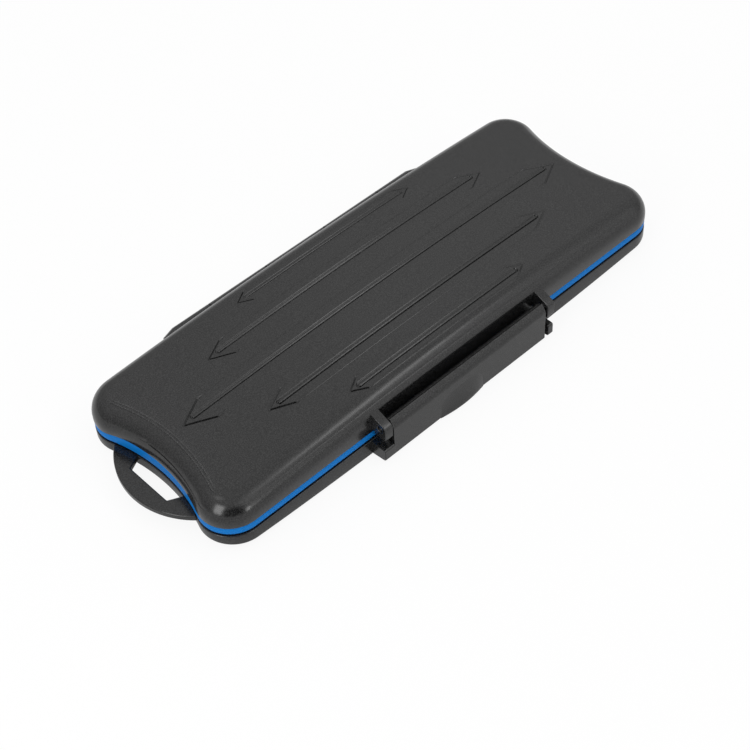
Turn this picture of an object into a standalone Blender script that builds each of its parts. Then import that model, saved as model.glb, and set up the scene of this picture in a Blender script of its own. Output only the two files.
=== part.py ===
"""A slim hinged case for small game cards, in two crowned shells with a seal and card trays.

Metres, +Z up. The case lies along X with its hinge at +Y, its latch at -Y and its loop at -X.
The origin is the middle of the flat land that the closed case rests on.
"""

import math

import bmesh
import bpy
from mathutils import Matrix, Vector

# Plan of the case
CASE_LENGTH = 0.2000
CASE_WIDTH = 0.0748
CORNER_RADIUS = 0.0115
END_HOLLOW_RADIUS = 0.0690

# Heights of the closed case, bottom to top
BASE_HEIGHT = 0.0078
SEAL_HEIGHT = 0.00325
LID_HEIGHT = 0.01185
FIT_GAP = 0.0003

# Lid shell
LID_WALL = 0.0022
LID_EDGE_RADIUS = 0.0073
LID_END_DROP = 0.00314
LID_SIDE_DROP = 0.0006

# Base shell
BASE_WALL = 0.0018
BASE_EDGE_RADIUS = 0.0010
BASE_INSIDE_RADIUS = 0.0010
BASE_END_RISE = 0.0028
LAND_LENGTH = 0.0506

# Seal ring
SEAL_SETBACK = 0.0002
SEAL_WIDTH = 0.0033
SEAL_ROUND = 0.0004
SEAL_LIP_WIDTH = 0.00095
SEAL_LIP_HEIGHT = 0.00215

# Cards and trays
CARD_LENGTH = 0.0312
CARD_WIDTH = 0.0215
CARD_CLEARANCE = 0.0002
SLOT_DEPTH = 0.0041
COLUMN_PITCH = 0.0284
ROW_RIB = 0.0016
TRAY_FLOOR = 0.0007
TRAY_RISE = 0.0018
TRAY_FACE_GAP = 0.0004
TRAY_SPLIT = 0.0005
TRAY_FLANGE_HEIGHT = 0.0011
TRAY_EDGE_GAP = 0.0004
FLANGE_SETBACK = 0.00305
TRAY_RIB_WIDTH = 0.0016
TRAY_RIB_LENGTH = 0.0540
FINGER_RADIUS = 0.0070
COLUMNS_PER_TRAY = 3

# Hinge
HINGE_LENGTH = 0.1190
HINGE_RADIUS = 0.0031
HINGE_REACH = 0.0052
HINGE_RISE = 0.0007
HINGE_TAPER = 0.0045
HINGE_TAPER_DEPTH = 0.0011
HINGE_WEB_HEIGHT = 0.0038
KNUCKLE_GAP = 0.0004
MIDDLE_KNUCKLE = 0.0272
LID_KNUCKLE = 0.0253
PIN_RADIUS = 0.0010
PIN_CLEARANCE = 0.0001
PIN_RECESS = 0.0008
PIN_SPLIT = 0.0094

# Latch
LATCH_REACH = 0.0032
LATCH_DROP = 0.0094
LATCH_ROOM = 0.0718
FLAP_END_GAP = 0.00035
FLAP_END_PLAY = 0.0004
FLAP_THICKNESS = 0.0023
FLAP_FRONT = 0.0024
FLAP_BARREL_RADIUS = 0.0028
FLAP_TOP = 0.00295
FLAP_CREASE_DROP = 0.0003
FLAP_DROP = 0.0132
HOOK_REACH = 0.0018
HOOK_TOP_DROP = 0.0097
HOOK_RAMP = 0.0006
LUG_WIDTH = 0.0033
LUG_REACH = 0.0059
LUG_HEIGHT = 0.0085
LUG_DROP = 0.0051
LUG_ROOT = 0.0012
LUG_SEAL_GAP = 0.0005
RECESS_DEPTH = 0.0006
LEFT_KEEPER_WIDTH = 0.0044
RIGHT_KEEPER_WIDTH = 0.0023
KEEPER_REACH = 0.0064
KEEPER_BOTTOM = 0.0009
KEEPER_ROOT = 0.0009
CATCH_REACH = 0.0020
CATCH_HEIGHT = 0.0024
THUMB_LENGTH = 0.0197
THUMB_REACH = 0.0012
THUMB_HEIGHT = 0.0026
THUMB_OFFSET = -0.0048

# Carrying loop
LOOP_REACH = 0.0120
LOOP_SPAN = 0.0418
LOOP_BAND = 0.0064
LOOP_THICKNESS = 0.0022
LOOP_DROP = 0.0004
LOOP_HOLE_OUTER = 0.0184
LOOP_HOLE_INNER = 0.0230
LOOP_ROOT = 0.0010

# Arrow relief on the lid: half length, distance from the middle line, half width, head length
ARROW_LANES = (
    (0.0856, 0.0, 0.0056, 0.0111),
    (0.0627, 0.0153, 0.0042, 0.0081),
    (0.0627, -0.0153, 0.0042, 0.0081),
    (0.0397, 0.0282, 0.0032, 0.0052),
    (0.0397, -0.0282, 0.0032, 0.0052),
)
ARROW_RELIEF = 0.0003
ARROW_RIDGE_RELIEF = 0.00015
ARROW_RIDGE_WIDTH = 0.0012
ARROW_SINK = 0.0006

# How finely curved outlines are divided
SIDE_STEPS = 14
CORNER_STEPS = 6
HOLLOW_STEPS = 8
FILLET_STEPS = 6
ROUND_STEPS = 24
ARROW_STEPS = 8

# One overrun for every cut that runs past a face
OVERRUN = 0.0010

# Worked out from the sizes above
HALF_LENGTH = CASE_LENGTH / 2
HALF_WIDTH = CASE_WIDTH / 2
CORNER_X = HALF_LENGTH - CORNER_RADIUS
CORNER_Y = HALF_WIDTH - CORNER_RADIUS
HOLLOW_X = CORNER_X + math.sqrt((END_HOLLOW_RADIUS + CORNER_RADIUS) ** 2 - CORNER_Y ** 2)
HOLLOW_ANGLE = math.atan2(CORNER_Y, HOLLOW_X - CORNER_X)
END_MIDDLE_X = HOLLOW_X - END_HOLLOW_RADIUS

SEAL_BOTTOM = BASE_HEIGHT + FIT_GAP
SEAL_TOP = SEAL_BOTTOM + SEAL_HEIGHT
LID_EDGE = SEAL_TOP + FIT_GAP
CASE_TOP = LID_EDGE + LID_HEIGHT

HINGE_Y = HALF_WIDTH + HINGE_REACH
HINGE_Z = BASE_HEIGHT + HINGE_RISE
LATCH_Y = -(HALF_WIDTH + LATCH_REACH)
LATCH_Z = CASE_TOP - LATCH_DROP

SLOT_LENGTH = CARD_LENGTH + 2 * CARD_CLEARANCE
SLOT_WIDTH = CARD_WIDTH + 2 * CARD_CLEARANCE
SLOT_Y = (ROW_RIB + SLOT_LENGTH) / 2
BASE_TRAY_TOP = BASE_HEIGHT + TRAY_RISE
LID_TRAY_FACE = BASE_TRAY_TOP + TRAY_FACE_GAP
TRAY_THICKNESS = SLOT_DEPTH + TRAY_FLOOR


def new_collection(name):
    """Make a collection under the scene's own one."""
    collection = bpy.data.collections.new(name)
    bpy.context.scene.collection.children.link(collection)
    return collection


def lid_height(x, y):
    """Height of the crowned lid's outside over a point of the plan."""
    return CASE_TOP - LID_END_DROP * (x / HALF_LENGTH) ** 2 - LID_SIDE_DROP * (y / HALF_WIDTH) ** 2


def belly_height(x):
    """Height of the base's underside, flat over the land and rising to both ends."""
    past_land = max(0.0, abs(x) - LAND_LENGTH / 2) / (HALF_LENGTH - LAND_LENGTH / 2)
    return BASE_END_RISE * past_land ** 2


def arc(centre, radius, start, end, steps):
    """Points of a plane arc, with both of its ends."""
    angles = [start + (end - start) * step / steps for step in range(steps + 1)]
    return [(centre[0] + radius * math.cos(a), centre[1] + radius * math.sin(a)) for a in angles]


def right_outline(inset):
    """The plan's outline from (0, -width) round the +X end to (0, +width), drawn in by inset."""
    corner = CORNER_RADIUS - inset
    hollow = END_HOLLOW_RADIUS + inset
    quarter = math.pi / 2
    side = [(CORNER_X * step / (SIDE_STEPS // 2), -(HALF_WIDTH - inset)) for step in range(SIDE_STEPS // 2)]
    near = arc((CORNER_X, -CORNER_Y), corner, -quarter, HOLLOW_ANGLE, CORNER_STEPS)
    end = arc((HOLLOW_X, 0.0), hollow, math.pi + HOLLOW_ANGLE, math.pi - HOLLOW_ANGLE, HOLLOW_STEPS)
    far = [(x, -y) for x, y in reversed(near)]
    return side + near + end[1:-1] + far + [(x, -y) for x, y in reversed(side)]


def outline(inset):
    """The whole plan's outline as a closed ring of points, drawn in by inset."""
    right = right_outline(inset)
    return right + [(-x, y) for x, y in reversed(right[1:-1])]


def ring(inset, height):
    """The outline as 3D points, at a fixed height or at one given by a function of x and y."""
    level = height if callable(height) else (lambda x, y: height)
    return [Vector((x, y, level(x, y))) for x, y in outline(inset)]


def loft(name, rings, closed=False, capped=False, floor=False):
    """Join rings of equal count with faces, as a closed tube, a capped solid or one with a floor."""
    mesh = bpy.data.meshes.new(name)
    work = bmesh.new()
    rows = [[work.verts.new(point) for point in points] for points in rings]
    pairs = list(zip(rows, rows[1:]))
    if closed:
        pairs.append((rows[-1], rows[0]))
    for low, high in pairs:
        for i in range(len(low)):
            j = (i + 1) % len(low)
            work.faces.new((low[i], low[j], high[j], high[i]))
    if capped or floor:
        work.faces.new(list(reversed(rows[0])))
    if capped:
        work.faces.new(rows[-1])
    bmesh.ops.remove_doubles(work, verts=work.verts, dist=1e-7)
    bmesh.ops.recalc_face_normals(work, faces=work.faces)
    work.to_mesh(mesh)
    work.free()
    return bpy.data.objects.new(name, mesh)


def plate(name, points, thickness, place):
    """A flat outline given thickness, from a filled curve, put where the matrix says."""
    curve = bpy.data.curves.new(name, "CURVE")
    curve.dimensions = "2D"
    curve.fill_mode = "BOTH"
    curve.extrude = thickness / 2
    spline = curve.splines.new("POLY")
    spline.points.add(len(points) - 1)
    spline.use_cyclic_u = True
    for spot, (x, y) in zip(spline.points, points):
        spot.co = (x, y, 0.0, 1.0)
    guide = bpy.data.objects.new(name, curve)
    bpy.context.scene.collection.objects.link(guide)
    bpy.context.view_layer.update()
    graph = bpy.context.evaluated_depsgraph_get()
    mesh = bpy.data.meshes.new_from_object(guide.evaluated_get(graph))
    bpy.data.objects.remove(guide)
    work = bmesh.new()
    work.from_mesh(mesh)
    bmesh.ops.remove_doubles(work, verts=work.verts, dist=1e-6)
    bmesh.ops.transform(work, matrix=place, verts=work.verts)
    bmesh.ops.recalc_face_normals(work, faces=work.faces)
    work.to_mesh(mesh)
    work.free()
    return bpy.data.objects.new(name, mesh)


def bar(name, profile, x_from, x_to):
    """A (y, z) profile run along X between two places."""
    turn = Matrix(((0, 0, 1, 0), (1, 0, 0, 0), (0, 1, 0, 0), (0, 0, 0, 1)))
    middle = Matrix.Translation(((x_from + x_to) / 2, 0.0, 0.0))
    return plate(name, profile, abs(x_to - x_from), middle @ turn)


def slab(name, points, z_from, z_to):
    """A plan outline run up Z between two heights."""
    return plate(name, points, z_to - z_from, Matrix.Translation((0.0, 0.0, (z_from + z_to) / 2)))


def block(name, low, high):
    """A box between two corners."""
    size = [b - a for a, b in zip(low, high)]
    middle = [(a + b) / 2 for a, b in zip(low, high)]
    mesh = bpy.data.meshes.new(name)
    work = bmesh.new()
    bmesh.ops.create_cube(work, size=1.0, matrix=Matrix.Translation(middle) @ Matrix.Diagonal((*size, 1.0)))
    work.to_mesh(mesh)
    work.free()
    return bpy.data.objects.new(name, mesh)


def rod(name, radius, x_from, x_to, y, z):
    """A round bar along X."""
    mesh = bpy.data.meshes.new(name)
    work = bmesh.new()
    place = Matrix.Translation(((x_from + x_to) / 2, y, z)) @ Matrix.Rotation(math.pi / 2, 4, "Y")
    bmesh.ops.create_cone(work, cap_ends=True, segments=ROUND_STEPS, radius1=radius, radius2=radius,
                          depth=abs(x_to - x_from), matrix=place)
    work.to_mesh(mesh)
    work.free()
    return bpy.data.objects.new(name, mesh)


def post(name, radius, z_from, z_to, x, y):
    """A round bar up Z."""
    mesh = bpy.data.meshes.new(name)
    work = bmesh.new()
    bmesh.ops.create_cone(work, cap_ends=True, segments=ROUND_STEPS, radius1=radius, radius2=radius,
                          depth=z_to - z_from, matrix=Matrix.Translation((x, y, (z_from + z_to) / 2)))
    work.to_mesh(mesh)
    work.free()
    return bpy.data.objects.new(name, mesh)


class Workshop:
    """Holds the finished parts and the tools that shape them."""

    def __init__(self):
        self.parts = new_collection("game_card_case")
        self.tools = new_collection("cutters")

    def shape(self, target, tool, operation):
        """Join a tool to a part, or cut it away, and keep the tool as a hidden guide."""
        self.tools.objects.link(tool)
        tool.hide_render = True
        tool.display_type = "WIRE"
        step = target.modifiers.new(f"{operation.lower()} {tool.name}", "BOOLEAN")
        step.operation = operation
        step.solver = "EXACT"
        step.object = tool

    def join(self, target, tool):
        self.shape(target, tool, "UNION")

    def cut(self, target, tool):
        self.shape(target, tool, "DIFFERENCE")

    def finish(self, part, material, carrier=None):
        """Show a part in its material, hung from its joint's empty if it has one."""
        self.parts.objects.link(part)
        part.data.materials.clear()
        part.data.materials.append(material)
        part.data.shade_smooth()
        part.data.set_sharp_from_angle(angle=math.radians(28))
        if carrier:
            part.parent = carrier
            part.location = -carrier.matrix_world.translation
        return part


def make_material(name, colour, roughness, metallic=0.0):
    """A plain surface for one kind of part."""
    material = bpy.data.materials.new(name)
    material.use_nodes = True
    shader = material.node_tree.nodes["Principled BSDF"]
    shader.inputs["Base Color"].default_value = (*colour, 1.0)
    shader.inputs["Roughness"].default_value = roughness
    shader.inputs["Metallic"].default_value = metallic
    return material


def make_axis(workshop, name, y, z, parent=None):
    """An empty on a joint's axis."""
    axis = bpy.data.objects.new(name, None)
    workshop.parts.objects.link(axis)
    axis.location = (0.0, y, z)
    if parent:
        axis.parent = parent
        axis.location = Vector((0.0, y, z)) - parent.matrix_world.translation
    bpy.context.view_layer.update()
    return axis


def towards_middle(points, share, height):
    """A ring drawn in towards the middle line of the case, at the height given by a function."""
    spine = CORNER_X - HALF_WIDTH
    drawn = []
    for point in points:
        x_on_spine = max(-spine, min(spine, point.x))
        x = point.x + (x_on_spine - point.x) * share
        y = point.y * (1.0 - share)
        drawn.append(Vector((x, y, height(x, y))))
    return drawn


def rounded_solid(name, inset, edge_z, surface, radius, up):
    """A solid with an upright wall, a rounded edge and a wide face that follows a surface."""
    rings = [ring(inset, edge_z)]
    for step in range(FILLET_STEPS + 1):
        angle = math.pi / 2 * step / FILLET_STEPS
        further = radius * (1.0 - math.cos(angle))
        drop = radius * (1.0 - math.sin(angle))
        rings.append(ring(inset + further, lambda x, y, d=drop: surface(x, y) - up * d))
    widest = rings[-1]
    rings.extend(towards_middle(widest, share, surface) for share in (0.5, 1.0))
    return loft(name, rings, floor=True)


def make_shell(workshop, name, edge_z, surface, radius, inside_radius, wall, up):
    """A rounded solid hollowed from its open side, with an even wall."""
    shell = rounded_solid(name, 0.0, edge_z, surface, radius, up)
    inside = rounded_solid(f"{name}_inside", wall, edge_z - up * OVERRUN,
                           lambda x, y: surface(x, y) - up * wall, inside_radius, up)
    workshop.cut(shell, inside)
    return shell


def arrow_section(x, lane):
    """One cross-section of an arrow's raised pad, as (y, z) around it."""
    half_length, y_middle, half_width, head = lane
    spread = half_width * min(1.0, max(0.02, (half_length - abs(x)) / head))
    crest = min(ARROW_RIDGE_WIDTH / 2, spread / 2)
    top = lid_height(x, y_middle)
    low = top - ARROW_SINK
    edge = lid_height(x, abs(y_middle) + spread) + ARROW_RELIEF
    ridge = top + ARROW_RELIEF + ARROW_RIDGE_RELIEF
    shape = ((-spread, low), (spread, low), (spread, edge), (crest, ridge), (-crest, ridge), (-spread, edge))
    return [Vector((x, y_middle + y, z)) for y, z in shape]


def arrow_pad(number, lane):
    """A long hexagonal pad, pointed at both ends, that follows the crown of the lid."""
    half_length, head = lane[0], lane[3]
    body = [(half_length - head) * (2 * step / ARROW_STEPS - 1) for step in range(ARROW_STEPS + 1)]
    places = [-half_length] + body + [half_length]
    return loft(f"arrow_pad_{number}", [arrow_section(x, lane) for x in places], capped=True)


def side_profile(points):
    """Turn (distance out from the latch side's wall, z) into (y, z)."""
    return [(-(HALF_WIDTH + out), z) for out, z in points]


def lug_profile():
    """The lid's latch lug, from the shoulder of the lid down past its edge."""
    low = CASE_TOP - LUG_DROP - LUG_HEIGHT
    top = low + LUG_HEIGHT
    front_shares = ((0.83, 0.75), (0.95, 0.69), (1.0, 0.60), (0.97, 0.09), (0.87, 0.0))
    front = [(LUG_REACH * out, low + LUG_HEIGHT * up) for out, up in front_shares]
    back = [(LUG_SEAL_GAP, low), (LUG_SEAL_GAP, LID_EDGE + FIT_GAP), (-LUG_ROOT, LID_EDGE + FIT_GAP)]
    return side_profile([(-LUG_ROOT, top), (-RECESS_DEPTH, top)] + front + back)


def keeper_profile():
    """The base's lug below it, which guards the flap's end."""
    top = BASE_HEIGHT - FIT_GAP
    front_shares = ((0.92, 0.17), (1.0, 0.27), (1.0, 0.92), (0.93, 1.0))
    front = [(KEEPER_REACH * out, KEEPER_BOTTOM + (top - KEEPER_BOTTOM) * up) for out, up in front_shares]
    return side_profile([(-KEEPER_ROOT, KEEPER_BOTTOM)] + front + [(-KEEPER_ROOT, top)])


def catch_profile():
    """The rib on the base that the flap's hook holds under."""
    low = LATCH_Z - HOOK_TOP_DROP + FIT_GAP
    shoulder = low + CATCH_HEIGHT / 2
    return side_profile([(-KEEPER_ROOT, low), (CATCH_REACH, low), (CATCH_REACH, shoulder),
                         (CATCH_REACH / 2, low + CATCH_HEIGHT), (-KEEPER_ROOT, low + CATCH_HEIGHT)])


def flap_profile():
    """The latch flap: barrel, sloped facet, front face, and the hook along its lower edge."""
    back = FLAP_FRONT - FLAP_THICKNESS
    barrel_back = math.asin(-math.sqrt(1 - (back / FLAP_BARREL_RADIUS) ** 2))
    barrel = arc((0.0, 0.0), FLAP_BARREL_RADIUS, barrel_back, -1.5 * math.pi, ROUND_STEPS // 2)
    front = [(HOOK_RAMP / 2, FLAP_TOP), (FLAP_FRONT + HOOK_RAMP / 6, -FLAP_CREASE_DROP),
             (FLAP_FRONT, HOOK_RAMP / 2 - FLAP_DROP), (FLAP_FRONT - HOOK_RAMP / 2, -FLAP_DROP)]
    hook = [(-HOOK_REACH + HOOK_RAMP, -FLAP_DROP), (-HOOK_REACH, HOOK_RAMP - FLAP_DROP),
            (-HOOK_REACH, -HOOK_TOP_DROP - HOOK_RAMP), (-HOOK_REACH + HOOK_RAMP, -HOOK_TOP_DROP),
            (back, -HOOK_TOP_DROP)]
    return [(LATCH_Y - out, LATCH_Z + up) for out, up in front + hook + barrel]


def thumb_outline():
    """The bowed lip at the flap's lower edge, seen from above."""
    bow = (THUMB_LENGTH ** 2 / 4 + THUMB_REACH ** 2) / (2 * THUMB_REACH)
    spread = math.asin(THUMB_LENGTH / 2 / bow)
    face = LATCH_Y - FLAP_FRONT
    centre = (THUMB_OFFSET, face - THUMB_REACH + bow)
    down = -math.pi / 2
    root = face + FLAP_THICKNESS / 2
    half = THUMB_LENGTH / 2
    return arc(centre, bow, down - spread, down + spread, HOLLOW_STEPS) + [
        (THUMB_OFFSET + half, root), (THUMB_OFFSET - half, root)]


def lid_knuckle_profile():
    """A hinge knuckle with the web that carries it on the lid."""
    start, end = math.radians(110), math.radians(-175)
    barrel = arc((HINGE_Y, HINGE_Z), HINGE_RADIUS, start, end, ROUND_STEPS * 3 // 4)
    root = HALF_WIDTH - LUG_ROOT
    low = LID_EDGE + FIT_GAP
    elbow = HALF_WIDTH + LUG_ROOT
    return barrel + [(elbow, low), (root, low), (root, low + HINGE_WEB_HEIGHT)]


def base_knuckle_profile(inward=0.0):
    """A hinge knuckle with the web that carries it on the base, drawn in by a taper."""
    radius = HINGE_RADIUS - inward
    top = BASE_HEIGHT - FIT_GAP
    start = math.pi - math.asin((top - HINGE_Z) / radius)
    barrel = arc((HINGE_Y, HINGE_Z), radius, start, -math.pi / 2, ROUND_STEPS * 3 // 4)
    root = HALF_WIDTH - KEEPER_ROOT
    return barrel + [(root, top - HINGE_WEB_HEIGHT + inward), (root, top)]


def end_knuckle(name, side, inner_x):
    """An outer knuckle on the base, tapered at the end of the hinge."""
    outer_x = HINGE_LENGTH / 2
    places = ((inner_x, 0.0), (outer_x - HINGE_TAPER, 0.0), (outer_x, HINGE_TAPER_DEPTH))
    rings = [[Vector((side * x, y, z)) for y, z in base_knuckle_profile(inward)] for x, inward in places]
    return loft(name, rings, capped=True)


def make_lid_shell(workshop, material, carrier):
    lid = make_shell(workshop, "lid_shell", LID_EDGE, lid_height, LID_EDGE_RADIUS, LID_EDGE_RADIUS - LID_WALL,
                     LID_WALL, 1)
    for number, lane in enumerate(ARROW_LANES, 1):
        workshop.join(lid, arrow_pad(number, lane))
    flap_room = LATCH_ROOM / 2
    wall_y = -(HALF_WIDTH - RECESS_DEPTH)
    recess_low = (-flap_room, wall_y - RECESS_DEPTH - OVERRUN, LID_EDGE - OVERRUN)
    recess_high = (flap_room, wall_y, CASE_TOP - LUG_DROP + OVERRUN)
    workshop.cut(lid, block("latch_recess", recess_low, recess_high))
    inner = MIDDLE_KNUCKLE / 2 + KNUCKLE_GAP
    for side in (-1, 1):
        lug = bar(f"lug_{side}", lug_profile(), side * flap_room, side * (flap_room + LUG_WIDTH))
        workshop.join(lid, lug)
        knuckle = bar(f"lid_knuckle_{side}", lid_knuckle_profile(), side * inner, side * (inner + LID_KNUCKLE))
        workshop.join(lid, knuckle)
    half_bore = flap_room + LUG_WIDTH + OVERRUN
    workshop.cut(lid, rod("lug_bore", PIN_RADIUS + PIN_CLEARANCE, -half_bore, half_bore, LATCH_Y, LATCH_Z))
    half_hinge = HINGE_LENGTH / 2
    workshop.cut(lid, rod("lid_hinge_bore", PIN_RADIUS + PIN_CLEARANCE, -half_hinge, half_hinge, HINGE_Y, HINGE_Z))
    return workshop.finish(lid, material, carrier)


def make_loop():
    """The carrying loop: a D-shaped band whose two roots run into the base's hollow end."""
    tip = -(END_MIDDLE_X + LOOP_REACH)
    half_span = LOOP_SPAN / 2
    wall_x = -(HOLLOW_X - math.sqrt(END_HOLLOW_RADIUS ** 2 - half_span ** 2))
    rise = wall_x - tip
    radius = (half_span ** 2 + rise ** 2) / (2 * rise)
    sweep = math.asin(half_span / radius)
    band = arc((tip + radius, 0.0), radius, math.pi - sweep, math.pi + sweep, 2 * HOLLOW_STEPS)
    hole_x = tip + LOOP_BAND
    inner_wall_x = -(HOLLOW_X - math.sqrt(END_HOLLOW_RADIUS ** 2 - (LOOP_HOLE_INNER / 2) ** 2))
    near = [(wall_x + LOOP_ROOT, -half_span + LOOP_ROOT), (inner_wall_x + LOOP_ROOT, -LOOP_HOLE_INNER / 2),
            (inner_wall_x, -LOOP_HOLE_INNER / 2), (hole_x, -LOOP_HOLE_OUTER / 2)]
    far = [(x, -y) for x, y in reversed(near)]
    top = BASE_HEIGHT - LOOP_DROP
    return slab("loop_band", band + near + far, top - LOOP_THICKNESS, top)


def make_base_shell(workshop, material):
    base = make_shell(workshop, "base_shell", BASE_HEIGHT, lambda x, y: belly_height(x), BASE_EDGE_RADIUS,
                      BASE_INSIDE_RADIUS, BASE_WALL, -1)
    workshop.join(base, make_loop())
    keeper_from = LATCH_ROOM / 2
    catch_half = keeper_from - LUG_WIDTH
    workshop.join(base, bar("catch_rib", catch_profile(), -catch_half, catch_half))
    half_middle = MIDDLE_KNUCKLE / 2
    workshop.join(base, bar("middle_knuckle", base_knuckle_profile(), -half_middle, half_middle))
    inner = half_middle + KNUCKLE_GAP + LID_KNUCKLE + KNUCKLE_GAP
    for side, width in ((-1, LEFT_KEEPER_WIDTH), (1, RIGHT_KEEPER_WIDTH)):
        keeper = bar(f"keeper_{side}", keeper_profile(), side * keeper_from, side * (keeper_from + width))
        workshop.join(base, keeper)
        workshop.join(base, end_knuckle(f"end_knuckle_{side}", side, inner))
        bore_from, bore_to = PIN_SPLIT / 2 - FIT_GAP, HINGE_LENGTH / 2 + OVERRUN
        bore = rod(f"base_hinge_bore_{side}", PIN_RADIUS + PIN_CLEARANCE, side * bore_from, side * bore_to,
                   HINGE_Y, HINGE_Z)
        workshop.cut(base, bore)
    return workshop.finish(base, material)


def make_seal(workshop, material, carrier):
    """A soft ring with a rounded outer band and a lip that stands up inside the lid's wall."""
    outer, inner = SEAL_SETBACK, SEAL_SETBACK + SEAL_WIDTH
    lip = inner - SEAL_LIP_WIDTH
    section = (
        (inner, SEAL_BOTTOM), (outer + SEAL_ROUND, SEAL_BOTTOM), (outer, SEAL_BOTTOM + SEAL_ROUND),
        (outer, SEAL_TOP - SEAL_ROUND), (outer + SEAL_ROUND, SEAL_TOP), (lip, SEAL_TOP),
        (lip, SEAL_TOP + SEAL_LIP_HEIGHT), (inner, SEAL_TOP + SEAL_LIP_HEIGHT),
    )
    seal = loft("seal_ring", [ring(inset, z) for inset, z in section], closed=True)
    return workshop.finish(seal, material, carrier)


def slot_places(side):
    """The centre of each card slot of one tray."""
    columns = [side * COLUMN_PITCH * (column + 0.5) for column in range(COLUMNS_PER_TRAY)]
    return [(x, row * SLOT_Y) for x in columns for row in (-1, 1)]


def make_tray(workshop, material, name, side, section, slot_from, slot_to, rib_reach, carrier):
    """A card tray for one half of a shell: six slots, finger hollows, and ribs on its back."""
    tray = loft(name, [ring(inset, z) for inset, z in section], capped=True)
    back = section[0][1]
    past_end, past_side = side * (HALF_LENGTH + OVERRUN), HALF_WIDTH + OVERRUN
    low = (min(-past_end, side * TRAY_SPLIT / 2), -past_side, -OVERRUN)
    high = (max(-past_end, side * TRAY_SPLIT / 2), past_side, CASE_TOP + OVERRUN)
    workshop.cut(tray, block(f"{name}_other_half", low, high))
    for number in range(1, COLUMNS_PER_TRAY):
        x = side * COLUMN_PITCH * number
        spread = TRAY_RIB_WIDTH / 2
        low, high = sorted((rib_reach(x), back + (TRAY_FLOOR / 2 if rib_reach(x) < back else -TRAY_FLOOR / 2)))
        corner = TRAY_RIB_LENGTH / 2
        rib = block(f"{name}_rib_{number}", (x - spread, -corner, low), (x + spread, corner, high))
        workshop.join(tray, rib)
    for number, (x, y) in enumerate(slot_places(side), 1):
        low = (x - SLOT_WIDTH / 2, y - SLOT_LENGTH / 2, slot_from)
        high = (x + SLOT_WIDTH / 2, y + SLOT_LENGTH / 2, slot_to)
        workshop.cut(tray, block(f"{name}_slot_{number}", low, high))
    for number in range(COLUMNS_PER_TRAY):
        x = side * COLUMN_PITCH * (number + 0.5)
        workshop.cut(tray, post(f"{name}_finger_{number}", FINGER_RADIUS, slot_from, slot_to, x, 0.0))
    return workshop.finish(tray, material, carrier)


def make_trays(workshop, material, lid_axis):
    inner = SEAL_SETBACK + SEAL_WIDTH
    base_floor = BASE_TRAY_TOP - TRAY_THICKNESS

    def clear_of_belly(lift):
        return lambda x, y: max(base_floor, belly_height(x) + BASE_WALL + lift)

    base_section = ((CORNER_RADIUS - BASE_WALL, base_floor),
                    (BASE_WALL + BASE_INSIDE_RADIUS, clear_of_belly(FIT_GAP)),
                    (BASE_WALL + FIT_GAP, clear_of_belly(BASE_INSIDE_RADIUS)),
                    (BASE_WALL + FIT_GAP, BASE_HEIGHT - FIT_GAP),
                    (inner + TRAY_EDGE_GAP, BASE_HEIGHT - FIT_GAP), (inner + TRAY_EDGE_GAP, BASE_TRAY_TOP))
    lid_back = LID_TRAY_FACE + TRAY_THICKNESS
    flange_z = SEAL_TOP + SEAL_LIP_HEIGHT + FIT_GAP
    lid_back = max(lid_back, flange_z + TRAY_FLANGE_HEIGHT)
    lid_section = ((FLANGE_SETBACK, lid_back), (FLANGE_SETBACK, flange_z), (inner + FIT_GAP, flange_z),
                   (inner + FIT_GAP, LID_TRAY_FACE))
    rib_half = TRAY_RIB_LENGTH / 2

    def base_rib_foot(x):
        return belly_height(abs(x) + TRAY_RIB_WIDTH / 2) + BASE_WALL + FIT_GAP

    def lid_rib_foot(x):
        return lid_height(abs(x) + TRAY_RIB_WIDTH / 2, rib_half) - LID_WALL - FIT_GAP

    for side, word in ((-1, "left"), (1, "right")):
        make_tray(workshop, material, f"base_tray_{word}", side, base_section, BASE_TRAY_TOP - SLOT_DEPTH,
                  BASE_TRAY_TOP + OVERRUN, base_rib_foot, None)
        make_tray(workshop, material, f"lid_tray_{word}", side, lid_section, LID_TRAY_FACE - OVERRUN,
                  LID_TRAY_FACE + SLOT_DEPTH, lid_rib_foot, lid_axis)


def make_flap(workshop, material, carrier):
    half = LATCH_ROOM / 2
    left, right = FLAP_END_GAP - half, half - FLAP_END_GAP - FLAP_END_PLAY
    flap = bar("latch_flap", flap_profile(), left, right)
    face_low = LATCH_Z - FLAP_DROP
    workshop.join(flap, slab("thumb_lip", thumb_outline(), face_low + HOOK_RAMP / 2, face_low + THUMB_HEIGHT))
    bore = rod("flap_bore", PIN_RADIUS + PIN_CLEARANCE, -half - OVERRUN, half + OVERRUN, LATCH_Y, LATCH_Z)
    workshop.cut(flap, bore)
    return workshop.finish(flap, material, carrier)


def make_pins(workshop, material, lid_axis):
    half = LATCH_ROOM / 2 + LUG_WIDTH - PIN_RECESS
    workshop.finish(rod("latch_pin", PIN_RADIUS, -half, half, LATCH_Y, LATCH_Z), material, lid_axis)
    inner, outer = PIN_SPLIT / 2, HINGE_LENGTH / 2 - PIN_RECESS
    for side, word in ((-1, "left"), (1, "right")):
        pin = rod(f"hinge_pin_{word}", PIN_RADIUS, side * inner, side * outer, HINGE_Y, HINGE_Z)
        workshop.finish(pin, material)


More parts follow.
